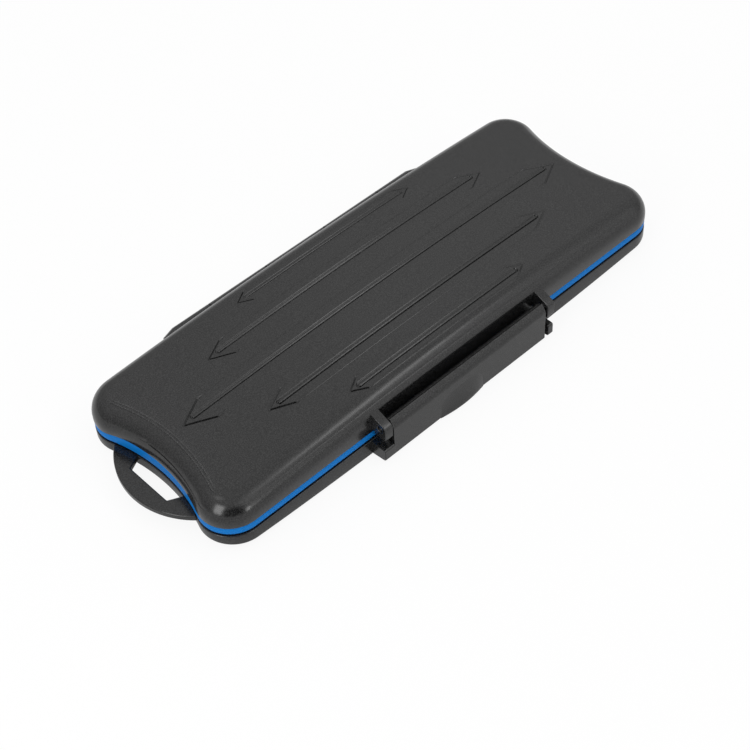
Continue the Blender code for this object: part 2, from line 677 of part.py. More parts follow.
def main():
    for thing in list(bpy.data.objects):
        bpy.data.objects.remove(thing)
    workshop = Workshop()
    black = make_material("black_plastic", (0.030, 0.030, 0.032), 0.42)
    tray_grey = make_material("tray_plastic", (0.045, 0.045, 0.048), 0.55)
    blue = make_material("blue_rubber", (0.020, 0.140, 0.480), 0.50)
    steel = make_material("steel", (0.560, 0.560, 0.580), 0.25, 1.0)
    lid_axis = make_axis(workshop, "lid_axis", HINGE_Y, HINGE_Z)
    latch_axis = make_axis(workshop, "latch_axis", LATCH_Y, LATCH_Z, lid_axis)
    make_base_shell(workshop, black)
    make_lid_shell(workshop, black, lid_axis)
    make_seal(workshop, blue, lid_axis)
    make_trays(workshop, tray_grey, lid_axis)
    make_flap(workshop, black, latch_axis)
    make_pins(workshop, steel, lid_axis)


main()
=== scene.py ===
"""Finishes a hinged game card case: moulded shells, arrow relief, rubber seal, trays, latch and hinge."""

import math
from collections import namedtuple

import bmesh
import bpy
from bpy.props import FloatProperty, FloatVectorProperty, PointerProperty
from mathutils import Matrix, Vector


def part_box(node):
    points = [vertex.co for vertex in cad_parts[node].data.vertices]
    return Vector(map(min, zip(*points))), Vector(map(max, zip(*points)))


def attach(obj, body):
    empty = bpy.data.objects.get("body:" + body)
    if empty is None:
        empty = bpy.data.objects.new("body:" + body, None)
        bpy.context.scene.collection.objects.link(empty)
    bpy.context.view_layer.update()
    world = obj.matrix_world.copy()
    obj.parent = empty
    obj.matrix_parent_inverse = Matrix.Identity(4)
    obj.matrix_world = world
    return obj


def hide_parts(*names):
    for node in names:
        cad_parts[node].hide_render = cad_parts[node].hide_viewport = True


bl_info = {
    "name": "Game Card Case",
    "version": (1, 0, 0),
    "blender": (4, 5, 0),
    "location": "View3D > Sidebar > Card Case",
    "description": "Builds the finished pieces of a hinged game card case around its solids",
    "category": "Add Mesh",
}


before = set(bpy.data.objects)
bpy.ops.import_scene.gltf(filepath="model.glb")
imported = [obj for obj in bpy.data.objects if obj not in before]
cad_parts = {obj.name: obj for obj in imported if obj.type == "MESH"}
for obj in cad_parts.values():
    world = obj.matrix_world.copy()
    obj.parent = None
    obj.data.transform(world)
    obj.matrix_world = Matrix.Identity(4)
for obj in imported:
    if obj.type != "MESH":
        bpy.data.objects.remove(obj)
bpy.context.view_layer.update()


def axis_of(low, high):
    """The y and z of the axis of a pin, from its box."""
    return (low.y + high.y) / 2, (low.z + high.z) / 2


SEAL_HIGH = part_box("seal_ring")[1]
FLAP_LOW, FLAP_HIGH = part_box("latch_flap")
LATCH_Y, LATCH_Z = axis_of(*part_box("latch_pin"))
HINGE_Y, HINGE_Z = axis_of(*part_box("hinge_pin_right"))

# Heights of the finished shells, and half the room between the latch's lugs
BASE_TOP, LID_EDGE, CASE_TOP, LATCH_HALF = 0.0071, 0.01095, 0.0235, 0.0359
# How far the seal's solid lies inside the shells, and how far from the middle line of an end the lid's edge stays
# fully risen and is level again
SEAL_SETBACK, RISE_FROM, RISE_TO = 0.0002, 0.013, 0.027
# Depth of the recess behind the latch, and how far along the side its ends slope
RECESS_DEPTH, RECESS_SLOPE = 0.0006, 0.0002
BASE_INSIDE_RADIUS = 0.0010

Lane = namedtuple("Lane", "middle_x middle_y half_length half_width head shaft_offset shaft_setback shaft_half_width "
                          "line_share near_step far_step barb_width")
ARROW_LANES = tuple(Lane(*sizes) for sizes in (
    (0.0006, 0.00015, 0.0852, 0.00535, 0.0101, 0.00056, 0.0038, 0.00063, 1.25, 0.00002, -0.00013, 0.00090),
    (0.0012, 0.01535, 0.0627, 0.00415, 0.0080, 0.00052, 0.0038, 0.00063, 1.2, 0.00002, -0.00014, 0.00062),
    (0.0012, -0.0150, 0.0633, 0.0041, 0.0083, 0.00012, 0.0038, 0.00069, 1.4, 0.00016, -0.00003, 0.00092),
    (0.0007, 0.02775, 0.0393, 0.0029, 0.0050, 0.00018, 0.0031, 0.0006, 0.95, 0.00002, -0.00017, 0.00046),
    (0.0, -0.0280, 0.03945, 0.0032, 0.0055, -0.00010, 0.0031, 0.0008, 1.25, 0.00016, -0.00003, 0.00070),
))
BODY_COLUMNS = 50
PANEL_CLEARANCE, POCKET_FLOOR_GAP, POCKET_TOP, POCKET_TIP, POCKET_STEPS = 0.00003, 0.00005, 0.0015, 0.00001, 16

# Fine lines along the lid's roll: how far down the roll in degrees from level, depth, and where it runs
ROLL_LINES = ((47.0, 0.00010, "side"), (62.0, 0.00040, "rim"), (9.0, 0.00006, "end"))
LINE_SPREAD = 2.0
LINE_REACH = {"rim": (0.009, -0.026), "end": (0.030, -0.030)}
LINE_FADE, SIDE_FADE, SIDE_CLEAR = 0.004, 0.008, 0.002

# Seal: gaps below and above, width, rounding and how far it lies inside the wall
SEAL_GAP_BELOW, SEAL_GAP_ABOVE, SEAL_WIDTH, SEAL_ROUND, SEAL_INSET = 0.00078, 0.00005, 0.0033, 0.0007, 0.0001

# Card trays and their slots
TRAY_INSET, TRAY_HALF_SPLIT, TRAY_HEIGHT, TRAY_ROUND = 0.0039, 0.0003, 0.0048, 0.0003
SLOT_DEPTH, SLOT_OVER, CUT_HEIGHT, COLUMN_PITCH, CARD_COLUMNS = 0.0041, 0.0010, 0.0051, 0.0284, 3
SLOT_SIZES = {"Column Pitch": COLUMN_PITCH, "Row Pitch": 0.0332, "Slot Width": 0.0219, "Slot Length": 0.0316,
              "Slot Corner": 0.0008, "Cut Height": CUT_HEIGHT, "Finger Radius": 0.007}

# Carrying loop
LOOP_REACH, LOOP_HALF_SPAN, LOOP_BAND, LOOP_TOP, LOOP_THICKNESS = 0.0120, 0.0209, 0.0064, 0.0074, 0.0022
LOOP_ROOT, LOOP_ROUND, HOLE_HALF_INNER, HOLE_HALF_OUTER = 0.0010, 0.00045, 0.0115, 0.0092

# Hinge
HINGE_RADIUS, HINGE_WEB, SEAM_GAP, LID_ROOT, BASE_ROOT = 0.0031, 0.0038, 0.0003, 0.0012, 0.0009
HALF_MIDDLE, KNUCKLE_GAP, LID_KNUCKLE, HALF_HINGE = 0.0136, 0.0004, 0.0253, 0.0595
TAPER_LENGTH, TAPER_DEPTH = 0.0045, 0.0011

# Latch
LUG_WIDTH, LUG_REACH, LUG_HEIGHT, LUG_DROP = 0.0033, 0.0059, 0.0085, 0.0051
LUG_ROOT, LUG_SHOULDER, LUG_HEEL = 0.0012, 0.0006, 0.0005
BORE_RADIUS, BORE_DEPTH, BORE_OVERRUN = 0.00112, 0.0011, 0.0010
KEEPER_REACH, KEEPER_LOW, LEFT_KEEPER, RIGHT_KEEPER = 0.0064, 0.0009, 0.0044, 0.0023
CATCH_REACH, CATCH_HEIGHT, HOOK_DROP, FLAP_DROP = 0.0020, 0.0024, 0.0097, 0.0132
BARREL_RADIUS, FLAP_BACK, FLAP_FACE = 0.0019, 0.0001, 0.0024
THUMB_HALF_LENGTH, THUMB_OFFSET, THUMB_ROOT, THUMB_REACH, THUMB_STEPS = 0.00985, -0.0048, 0.00115, 0.0012, 12

# How finely curved outlines are divided
SIDE_STEPS, CORNER_STEPS, HOLLOW_STEPS, FILLET_STEPS, INSIDE_STEPS, ROUND_STEPS = 22, 18, 36, 18, 6, 40
CROWN_SHARES = (0.06, 0.14, 0.24, 0.36, 0.48, 0.6, 0.72, 0.84, 0.93, 1.0)

# Sky: soft patches as azimuth, elevation, angle they are full inside, angle they are gone past, and strength,
# and one shade given in the same way
SKY_PATCHES = ((-72.0, 22.0, 10.0, 50.0, 0.55), (-84.0, 7.0, 4.0, 9.0, 6.0), (150.0, 65.0, 4.0, 11.0, 1.2),
               (42.0, 45.0, 2.0, 12.0, 0.12), (82.0, 55.0, 1.5, 3.0, 4.2), (98.0, 55.0, 3.5, 6.0, -0.8))
SKY_SHADE = (-122.0, 10.0, 20.0, 40.0, 0.95)
SKY_LOW, SKY_GAIN, SKY_FULL, SKY_CURVE = 0.45, 0.47, 0.75, 1.4
LAMP_DISTANCE = 0.90

# Camera: its lens, place and axes
FOCAL_SHARE, SENSOR_WIDTH = 1642.09 / 750, 36.0
CAMERA_PLACE = (-0.25575, -0.29466, 0.40818)
CAMERA_AXES = ((0.72375, -0.68828, -0.04986), (0.53545, 0.51453, 0.66977), (-0.43532, -0.51142, 0.74091))


def length_property(name, description, default):
    return FloatProperty(name=name, description=description, default=default, min=0.0, precision=5,
                         subtype="DISTANCE", unit="LENGTH")


def level_property(name, description, default, **limits):
    return FloatProperty(name=name, description=description, default=default, min=0.0, **limits)


def colour_property(name, description, default):
    return FloatVectorProperty(name=name, description=description, default=default, min=0.0, max=1.0, size=3,
                               subtype="COLOR")


class CardCaseSizes(bpy.types.PropertyGroup):
    corner_radius: length_property("Corner radius", "Radius of the case's corners in plan", 0.0115)
    hollow_radius: length_property("End hollow", "Radius of the hollow in both ends", 0.0690)
    lid_edge_radius: length_property("Lid roll", "Radius of the lid's rolled edge", 0.0073)
    lid_wall: length_property("Lid wall", "Thickness of the lid's wall", 0.0022)
    end_drop: length_property("End drop", "How far the crown of the lid falls to its ends", 0.00314)
    side_drop: length_property("Side drop", "How far the crown of the lid falls to its sides", 0.0006)
    end_rise: length_property("End rise", "How much higher the lid's edge lies in the hollows of the ends", 0.0014)
    base_edge_radius: length_property("Base edge", "Radius of the base's lower edge", 0.0010)
    base_wall: length_property("Base wall", "Thickness of the base's wall", 0.0018)
    base_end_rise: length_property("Base rise", "How far the underside rises to its ends", 0.0028)
    land_length: length_property("Land", "Length of the flat that the case rests on", 0.0506)
    seam_round: length_property("Seam round", "Radius along the shells' meeting edges", 0.0003)
    edge_round: length_property("Edge round", "Radius on the edges of small moulded parts", 0.00035)


class CardCaseRelief(bpy.types.PropertyGroup):
    line_width: length_property("Shaft line", "Width of the lines cut round an arrow's shaft", 0.00082)
    line_depth: length_property("Shaft line depth", "Depth of the lines cut round an arrow's shaft", 0.00046)
    chamfer: length_property("Shaft chamfer", "Width of the sloped far side of a shaft's lines", 0.00034)
    flat: length_property("Shaft line floor", "Half the width of the flat floor of a shaft's lines", 0.00010)
    barb_depth: length_property("Barb line depth", "Depth of the deepest line of an arrow's head", 0.00064)
    far_barb: level_property("Far barbs", "Depth of the far barbs as a share", 0.45, max=1.0)
    right_barb: level_property("Right barbs", "Depth of the right barbs as a share", 0.45, max=1.0)
    margin: length_property("Panel margin", "Plain lid carried round an arrow on its own panel", 0.0007)
    panel_depth: length_property("Panel depth", "How deep an arrow's panel is let into the lid", 0.0011)
    grid: length_property("Relief grid", "Spacing of the panel's points across its lines", 0.00008)


class CardCaseColours(bpy.types.PropertyGroup):
    shell: colour_property("Shell", "Moulded plastic of the shells and latch", (0.0030, 0.0030, 0.0032))
    tray: colour_property("Trays", "Softer plastic of the card trays", (0.0300, 0.0300, 0.0315))
    seal: colour_property("Seal", "Rubber of the seal", (0.0030, 0.1500, 0.4800))
    pin: colour_property("Pins", "Steel of the hinge and latch pins", (0.5600, 0.5650, 0.5800))


class CardCaseStudio(bpy.types.PropertyGroup):
    sky_level: level_property("Sky level", "Strength of the light all round", 1.0)
    left_box: level_property("Left box", "Brightness of the soft box at the left", 4.6)
    near_box: level_property("Near box", "Brightness of the strip at the near right", 4.2)


class Plan:
    """Sizes worked out from the solids and the settings."""

    def __init__(self, scene):
        sizes = self.sizes = scene.card_case_sizes
        self.half_length = SEAL_HIGH.x + SEAL_SETBACK
        self.half_width = SEAL_HIGH.y + SEAL_SETBACK
        self.corner_x = self.half_length - sizes.corner_radius
        self.corner_y = self.half_width - sizes.corner_radius
        reach = sizes.hollow_radius + sizes.corner_radius
        self.hollow_x = self.corner_x + math.sqrt(reach ** 2 - self.corner_y ** 2)
        self.hollow_angle = math.atan2(self.corner_y, self.hollow_x - self.corner_x)

    def lid_height(self, x, y):
        sizes = self.sizes
        return (CASE_TOP - sizes.end_drop * (x / self.half_length) ** 2
                - sizes.side_drop * (y / self.half_width) ** 2)

    def lid_edge(self, x, y):
        """The lid's meeting edge, which rises in the hollows of the ends."""
        share = max(0.0, min(1.0, (RISE_TO - abs(y)) / (RISE_TO - RISE_FROM)))
        return LID_EDGE + self.sizes.end_rise * share * share * (3.0 - 2.0 * share)

    def lid_surface(self, x, y):
        """The lid's outer face over its length, with the roll along its sides."""
        roll = self.sizes.lid_edge_radius
        over = max(0.0, abs(y) - (self.half_width - roll))
        return self.lid_height(x, y) - (roll - math.sqrt(roll ** 2 - over ** 2))

    def belly_height(self, x, y):
        half_land = self.sizes.land_length / 2
        past_land = max(0.0, abs(x) - half_land) / (self.half_length - half_land)
        return self.sizes.base_end_rise * past_land ** 2

    def end_wall(self, y):
        """How far out the wall of a hollow end is, at a distance from the middle line."""
        return self.hollow_x - math.sqrt(self.sizes.hollow_radius ** 2 - y ** 2)

    def outline(self, inset):
        """The plan's closed outline, drawn in by inset, with extra points where the latch recess ends."""
        corner = self.sizes.corner_radius - inset
        hollow = self.sizes.hollow_radius + inset
        straight = [self.corner_x * step / SIDE_STEPS for step in range(SIDE_STEPS)]
        straight = sorted(straight + [LATCH_HALF - RECESS_SLOPE, LATCH_HALF + RECESS_SLOPE])
        side = [(x, -(self.half_width - inset)) for x in straight]
        near = arc((self.corner_x, -self.corner_y), corner, -math.pi / 2, self.hollow_angle, CORNER_STEPS)
        end = arc((self.hollow_x, 0.0), hollow, math.pi + self.hollow_angle, math.pi - self.hollow_angle,
                  HOLLOW_STEPS)
        right = side + near + end[1:-1] + [(x, -y) for x, y in reversed(near)] + [(x, -y) for x, y in reversed(side)]
        return right + [(-x, y) for x, y in reversed(right[1:-1])]

    def ring(self, inset, height):
        return [Vector((x, y, height(x, y))) for x, y in self.outline(inset)]

    def towards_middle(self, points, share, height):
        """A ring drawn in towards the middle line of the case."""
        spine = self.corner_x - self.half_width
        drawn = []
        for point in points:
            on_spine = max(-spine, min(spine, point.x))
            x, y = point.x + (on_spine - point.x) * share, point.y * (1.0 - share)
            drawn.append(Vector((x, y, height(x, y))))
        return drawn

    def side_profile(self, points):
        """Points given as a reach out from the near wall and a height, as (y, z)."""
        return [(-(self.half_width + out), z) for out, z in points]


def arc(centre, radius, start, end, steps):
    """Points of a plane arc, with both of its ends."""
    angles = [start + (end - start) * step / steps for step in range(steps + 1)]
    return [(centre[0] + radius * math.cos(a), centre[1] + radius * math.sin(a)) for a in angles]


def circle(centre, radius):
    return arc(centre, radius, 0.0, 2 * math.pi, ROUND_STEPS)[:-1]


def direction(azimuth, elevation):
    """A unit vector towards a place of the sky, in degrees from +X and from the floor."""
    a, e = math.radians(azimuth), math.radians(elevation)
    return Vector((math.cos(e) * math.cos(a), math.cos(e) * math.sin(a), math.sin(e)))


def skin(name, rings, capped=False):
    """Join rings of equal count with faces."""
    mesh = bpy.data.meshes.new(name)
    work = bmesh.new()
    rows = [[work.verts.new(point) for point in points] for points in rings]
    for low, high in zip(rows, rows[1:]):
        for i in range(len(low)):
            j = (i + 1) % len(low)
            work.faces.new((low[i], low[j], high[j], high[i]))
    if capped:
        work.faces.new(list(reversed(rows[0])))
        work.faces.new(rows[-1])
    bmesh.ops.remove_doubles(work, verts=work.verts, dist=1e-6)
    bmesh.ops.dissolve_degenerate(work, edges=work.edges, dist=1e-7)
    bmesh.ops.recalc_face_normals(work, faces=work.faces)
    work.to_mesh(mesh)
    work.free()
    return mesh


def prism(name, profile, x_from, x_to):
    """A closed (y, z) profile run along X."""
    return skin(name, [[Vector((x, y, z)) for y, z in profile] for x in sorted((x_from, x_to))], capped=True)


def slab(name, points, z_from, z_to):
    """A plan outline run up Z."""
    return skin(name, [[Vector((x, y, z)) for x, y in points] for z in (z_from, z_to)], capped=True)


def placed(name, mesh):
    """A new object in the case's collection."""
    collection = bpy.data.collections.get("game_card_case")
    if not collection:
        collection = bpy.data.collections.new("game_card_case")
        bpy.context.scene.collection.children.link(collection)
    piece = bpy.data.objects.new(name, mesh)
    collection.objects.link(piece)
    return piece


def show(mesh, name, body, material, sharp=35.0):
    """Put a finished mesh in the scene in its material, riding on its body."""
    piece = placed(name, mesh)
    mesh.materials.clear()
    mesh.materials.append(material)
    mesh.shade_smooth()
    mesh.set_sharp_from_angle(angle=math.radians(sharp))
    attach(piece, body)
    return piece


def soften(piece, width, segments=3, angle=30.0):
    """Round a piece's edges."""
    bevel = piece.modifiers.new("rounded edges", "BEVEL")
    bevel.width = width
    bevel.segments = segments
    bevel.limit_method = "ANGLE"
    bevel.angle_limit = math.radians(angle)
    bevel.harden_normals = True
    bevel.use_clamp_overlap = True


def baked(guide):
    """The plain mesh of an object with its modifiers applied; the object itself goes."""
    bpy.context.view_layer.update()
    graph = bpy.context.evaluated_depsgraph_get()
    mesh = bpy.data.meshes.new_from_object(guide.evaluated_get(graph))
    bpy.data.objects.remove(guide)
    return mesh


def drilled(mesh, *tools):
    """The mesh with the tools' space cut out of it."""
    guide = placed(mesh.name, mesh)
    cutters = [placed(tool.name, tool) for tool in tools]
    for cutter in cutters:
        cut = guide.modifiers.new(cutter.name, "BOOLEAN")
        cut.operation, cut.solver, cut.object = "DIFFERENCE", "EXACT", cutter
    result = baked(guide)
    for cutter in cutters:
        bpy.data.objects.remove(cutter)
    if len(result.polygons) < len(mesh.polygons) / 2:
        raise RuntimeError(f"{mesh.name} lost faces when it was cut")
    return result


# Node trees

class Value:
    """A node's output that sums can be written with."""

    def __init__(self, tree, socket):
        self.tree = tree
        self.socket = socket

    def __add__(self, other):
        return self.tree.math("ADD", self, other)

    def __sub__(self, other):
        return self.tree.math("SUBTRACT", self, other)

    def __rsub__(self, other):
        return self.tree.math("SUBTRACT", other, self)

    def __mul__(self, other):
        return self.tree.math("MULTIPLY", self, other)

    def __truediv__(self, other):
        return self.tree.math("DIVIDE", self, other)

    def __pow__(self, other):
        return self.tree.math("POWER", self, other)

    def __gt__(self, other):
        return self.tree.math("GREATER_THAN", self, other)

    def __lt__(self, other):
        return self.tree.math("LESS_THAN", self, other)

    def __abs__(self):
        return self.tree.math("ABSOLUTE", self)


class Tree:
    """A short hand for building node trees."""

    def __init__(self, tree):
        self.tree = tree

    def add(self, kind, settings=None, **inputs):
        """A new node with its settings, and its inputs by name with _ for a space."""
        node = self.tree.nodes.new(kind)
        for key, value in (settings or {}).items():
            setattr(node, key, value)
        for key, value in inputs.items():
            self.put(node.inputs[key.replace("_", " ")], value)
        return node

    def make(self, kind, settings=None, **inputs):
        """The first output of a new node."""
        return Value(self, self.add(kind, settings, **inputs).outputs[0])

    def put(self, socket, value):
        if isinstance(value, Value):
            value = value.socket
        if isinstance(value, bpy.types.NodeSocket):
            self.tree.links.new(value, socket)
        else:
            socket.default_value = value

    def given(self):
        """The tree's own inputs by name."""
        return {socket.name: Value(self, socket) for socket in self.add("NodeGroupInput").outputs}

    def math(self, operation, *terms):
        node = self.tree.nodes.new("ShaderNodeMath")
        node.operation = operation
        for socket, term in zip(node.inputs, terms):
            self.put(socket, term)
        return Value(self, node.outputs[0])

    def most(self, first, second):
        return self.math("MAXIMUM", first, second)

    def least(self, first, second):
        return self.math("MINIMUM", first, second)

    def point(self, **axes):
        return self.make("ShaderNodeCombineXYZ", **axes)

    def axes(self, vector):
        return [Value(self, socket) for socket in self.add("ShaderNodeSeparateXYZ", Vector=vector).outputs]

    def length(self, x, y):
        node = self.add("ShaderNodeVectorMath", {"operation": "LENGTH"})
        self.put(node.inputs[0], self.point(X=x, Y=y))
        return Value(self, node.outputs["Value"])

    def smooth_step(self, value, start, end, low=0.0, high=1.0):
        return self.make("ShaderNodeMapRange", {"interpolation_type": "SMOOTHSTEP"}, Value=value, From_Min=start,
                         From_Max=end, To_Min=low, To_Max=high)

    def mix_colours(self, share, first, second):
        node = self.add("ShaderNodeMix", {"data_type": "RGBA"}, Factor=share)
        self.put(node.inputs[6], first)
        self.put(node.inputs[7], second)
        return Value(self, node.outputs[2])

    def mix_shaders(self, share, first, second):
        node = self.add("ShaderNodeMixShader")
        for socket, value in zip(node.inputs, (share, first, second)):
            self.put(socket, value)
        return Value(self, node.outputs[0])


def new_tree(name, kind, inputs, outputs):
    """An empty node tree with its sockets, each a label, a sort and, for a number, its usual value."""
    tree = bpy.data.node_groups.new(name, kind)
    for way, sockets in (("INPUT", inputs), ("OUTPUT", outputs)):
        for label, sort, *usual in sockets:
            socket = tree.interface.new_socket(label, in_out=way, socket_type=f"NodeSocket{sort.split()[-1]}")
            if sort == "Length Float":
                socket.subtype = "DISTANCE"
            if usual:
                socket.default_value = usual[0]
    return tree


# Materials

def surface_group():
    """Fine moulded grain with a speckle, and a faint cloudiness, for every plastic and rubber."""
    name = "Moulded surface"
    if name in bpy.data.node_groups:
        return bpy.data.node_groups[name]
    group = new_tree(name, "ShaderNodeTree", (
        ("Vector", "Vector"), ("Grain Scale", "Float", 5200.0), ("Cloud Scale", "Float", 60.0),
        ("Roughness", "Float", 0.35), ("Roughness Spread", "Float", 0.03), ("Speckle", "Float", 0.0),
        ("Colour", "Color"), ("Dust Colour", "Color"), ("Dust", "Float", 0.1)),
        (("Height", "Float"), ("Roughness", "Float"), ("Colour", "Color")))
    t = Tree(group)
    given = t.given()
    grain = t.make("ShaderNodeTexNoise", {"noise_dimensions": "3D"}, Vector=given["Vector"],
                   Scale=given["Grain Scale"], Detail=2.0, Roughness=0.6)
    cells = t.make("ShaderNodeTexVoronoi", Vector=given["Vector"], Scale=given["Grain Scale"])
    cloud = t.make("ShaderNodeTexNoise", {"noise_dimensions": "3D"}, Vector=given["Vector"],
                   Scale=given["Cloud Scale"], Detail=4.0, Roughness=0.55)
    speckle = (grain - 0.42) * given["Speckle"]
    dust = t.math("MULTIPLY_ADD", cloud, given["Dust"], speckle)
    t.add("NodeGroupOutput", Height=t.math("MULTIPLY_ADD", grain, 0.7, cells * 0.3),
          Roughness=t.math("MULTIPLY_ADD", cloud - 0.5, given["Roughness Spread"], given["Roughness"]),
          Colour=t.mix_colours(dust, given["Colour"], given["Dust Colour"]))
    return group


def new_material(name):
    """A material, a short hand for its tree, and its object coordinates."""
    material = bpy.data.materials.new(name)
    material.use_nodes = True
    t = Tree(material.node_tree)
    return material, t, t.add("ShaderNodeTexCoord").outputs["Object"]


def dress(t, colour, roughness, height, strength, depth, **own):
    """Connect the material's shader to its patterns, and set its own numbers."""
    shader = t.tree.nodes["Principled BSDF"]
    bump = t.make("ShaderNodeBump", Strength=strength, Distance=depth, Height=height)
    for label, value in {"Base Color": colour, "Roughness": roughness, "Normal": bump}.items():
        t.put(shader.inputs[label], value)
    for label, value in own.items():
        shader.inputs[label.replace("_", " ")].default_value = value


def moulded_material(name, colour, roughness, grain_scale, grain_depth, dust_colour, dust, shine=0.5, speckle=0.0):
    """Plastic or rubber with a moulded grain."""
    if name in bpy.data.materials:
        return bpy.data.materials[name]
    material, t, place = new_material(name)
    surface = t.add("ShaderNodeGroup", {"node_tree": surface_group()}, Vector=place, Grain_Scale=grain_scale,
                    Cloud_Scale=60.0, Roughness=roughness, Roughness_Spread=0.03, Speckle=speckle, Dust=dust,
                    Colour=(*colour, 1.0), Dust_Colour=(*dust_colour, 1.0))
    made = surface.outputs
    dress(t, made["Colour"], made["Roughness"], made["Height"], 1.0, grain_depth, Specular_IOR_Level=shine)
    return material


def shell_material(scene):
    return moulded_material("Satin black plastic", scene.card_case_colours.shell, roughness=0.21, grain_scale=2400.0,
                            grain_depth=0.0000024, dust_colour=(0.021, 0.021, 0.021), dust=0.03, speckle=5.0)


def tray_material(scene):
    return moulded_material("Matt tray plastic", scene.card_case_colours.tray, roughness=0.52, grain_scale=3600.0,
                            grain_depth=0.0000030, dust_colour=(0.07, 0.07, 0.07), dust=0.08)


def seal_material(scene):
    return moulded_material("Blue seal rubber", scene.card_case_colours.seal, roughness=0.48, grain_scale=2800.0,
                            grain_depth=0.0000020, dust_colour=(0.01, 0.20, 0.55), dust=0.12, shine=0.08)


def pin_material(scene):
    """Drawn steel with fine rings round the pin."""
    name = "Drawn steel"
    if name in bpy.data.materials:
        return bpy.data.materials[name]
    material, t, place = new_material(name)
    stretch = t.make("ShaderNodeMapping", Vector=place, Scale=(9000.0, 300.0, 300.0))
    lines = t.make("ShaderNodeTexNoise", Vector=stretch, Scale=1.0, Detail=3.0)
    tint = t.mix_colours(lines, (*scene.card_case_colours.pin, 1.0), (0.42, 0.42, 0.43, 1.0))
    dress(t, tint, t.math("MULTIPLY_ADD", lines, 0.18, 0.20), lines, 0.5, 0.000004, Metallic=1.0)
    return material


# Geometry Nodes trees

def geometry_tree(name, **inputs):
    """A tree that takes a geometry, a material, and its own named lengths, shares and counts with usual values."""
    sorts = {"lengths": "Length Float", "shares": "Float", "counts": "Int"}
    own = [(label, sorts[kind], value) for kind, values in inputs.items() for label, value in values.items()]
    return new_tree(name, "GeometryNodeTree", [("Geometry", "Geometry"), *own, ("Material", "Material")],
                    [("Geometry", "Geometry")])


def finish_tree(t, given, geometry):
    """Realize what the tree made and give it its material."""
    real = t.make("GeometryNodeRealizeInstances", Geometry=geometry)
    t.add("NodeGroupOutput", Geometry=t.make("GeometryNodeSetMaterial", Geometry=real, Material=given["Material"]))


def grown(name, mesh, tree, values):
    """The plain mesh that a tree makes of a mesh, with the values of its named inputs."""
    guide = placed(name, mesh)
    modifier = guide.modifiers.new(tree.name, "NODES")
    modifier.node_group = tree
    for item in tree.interface.items_tree:
        if item.item_type == "SOCKET" and item.in_out == "INPUT" and item.name in values:
            modifier[item.identifier] = values[item.name]
    return baked(guide)


def groove(t, distance, width, depth):
    """How deep a round-bottomed line is at a distance from its middle."""
    share = t.least(distance / (width * 0.5), 1.0)
    return t.math("MULTIPLY_ADD", t.math("COSINE", share * math.pi), 0.5, 0.5) * depth


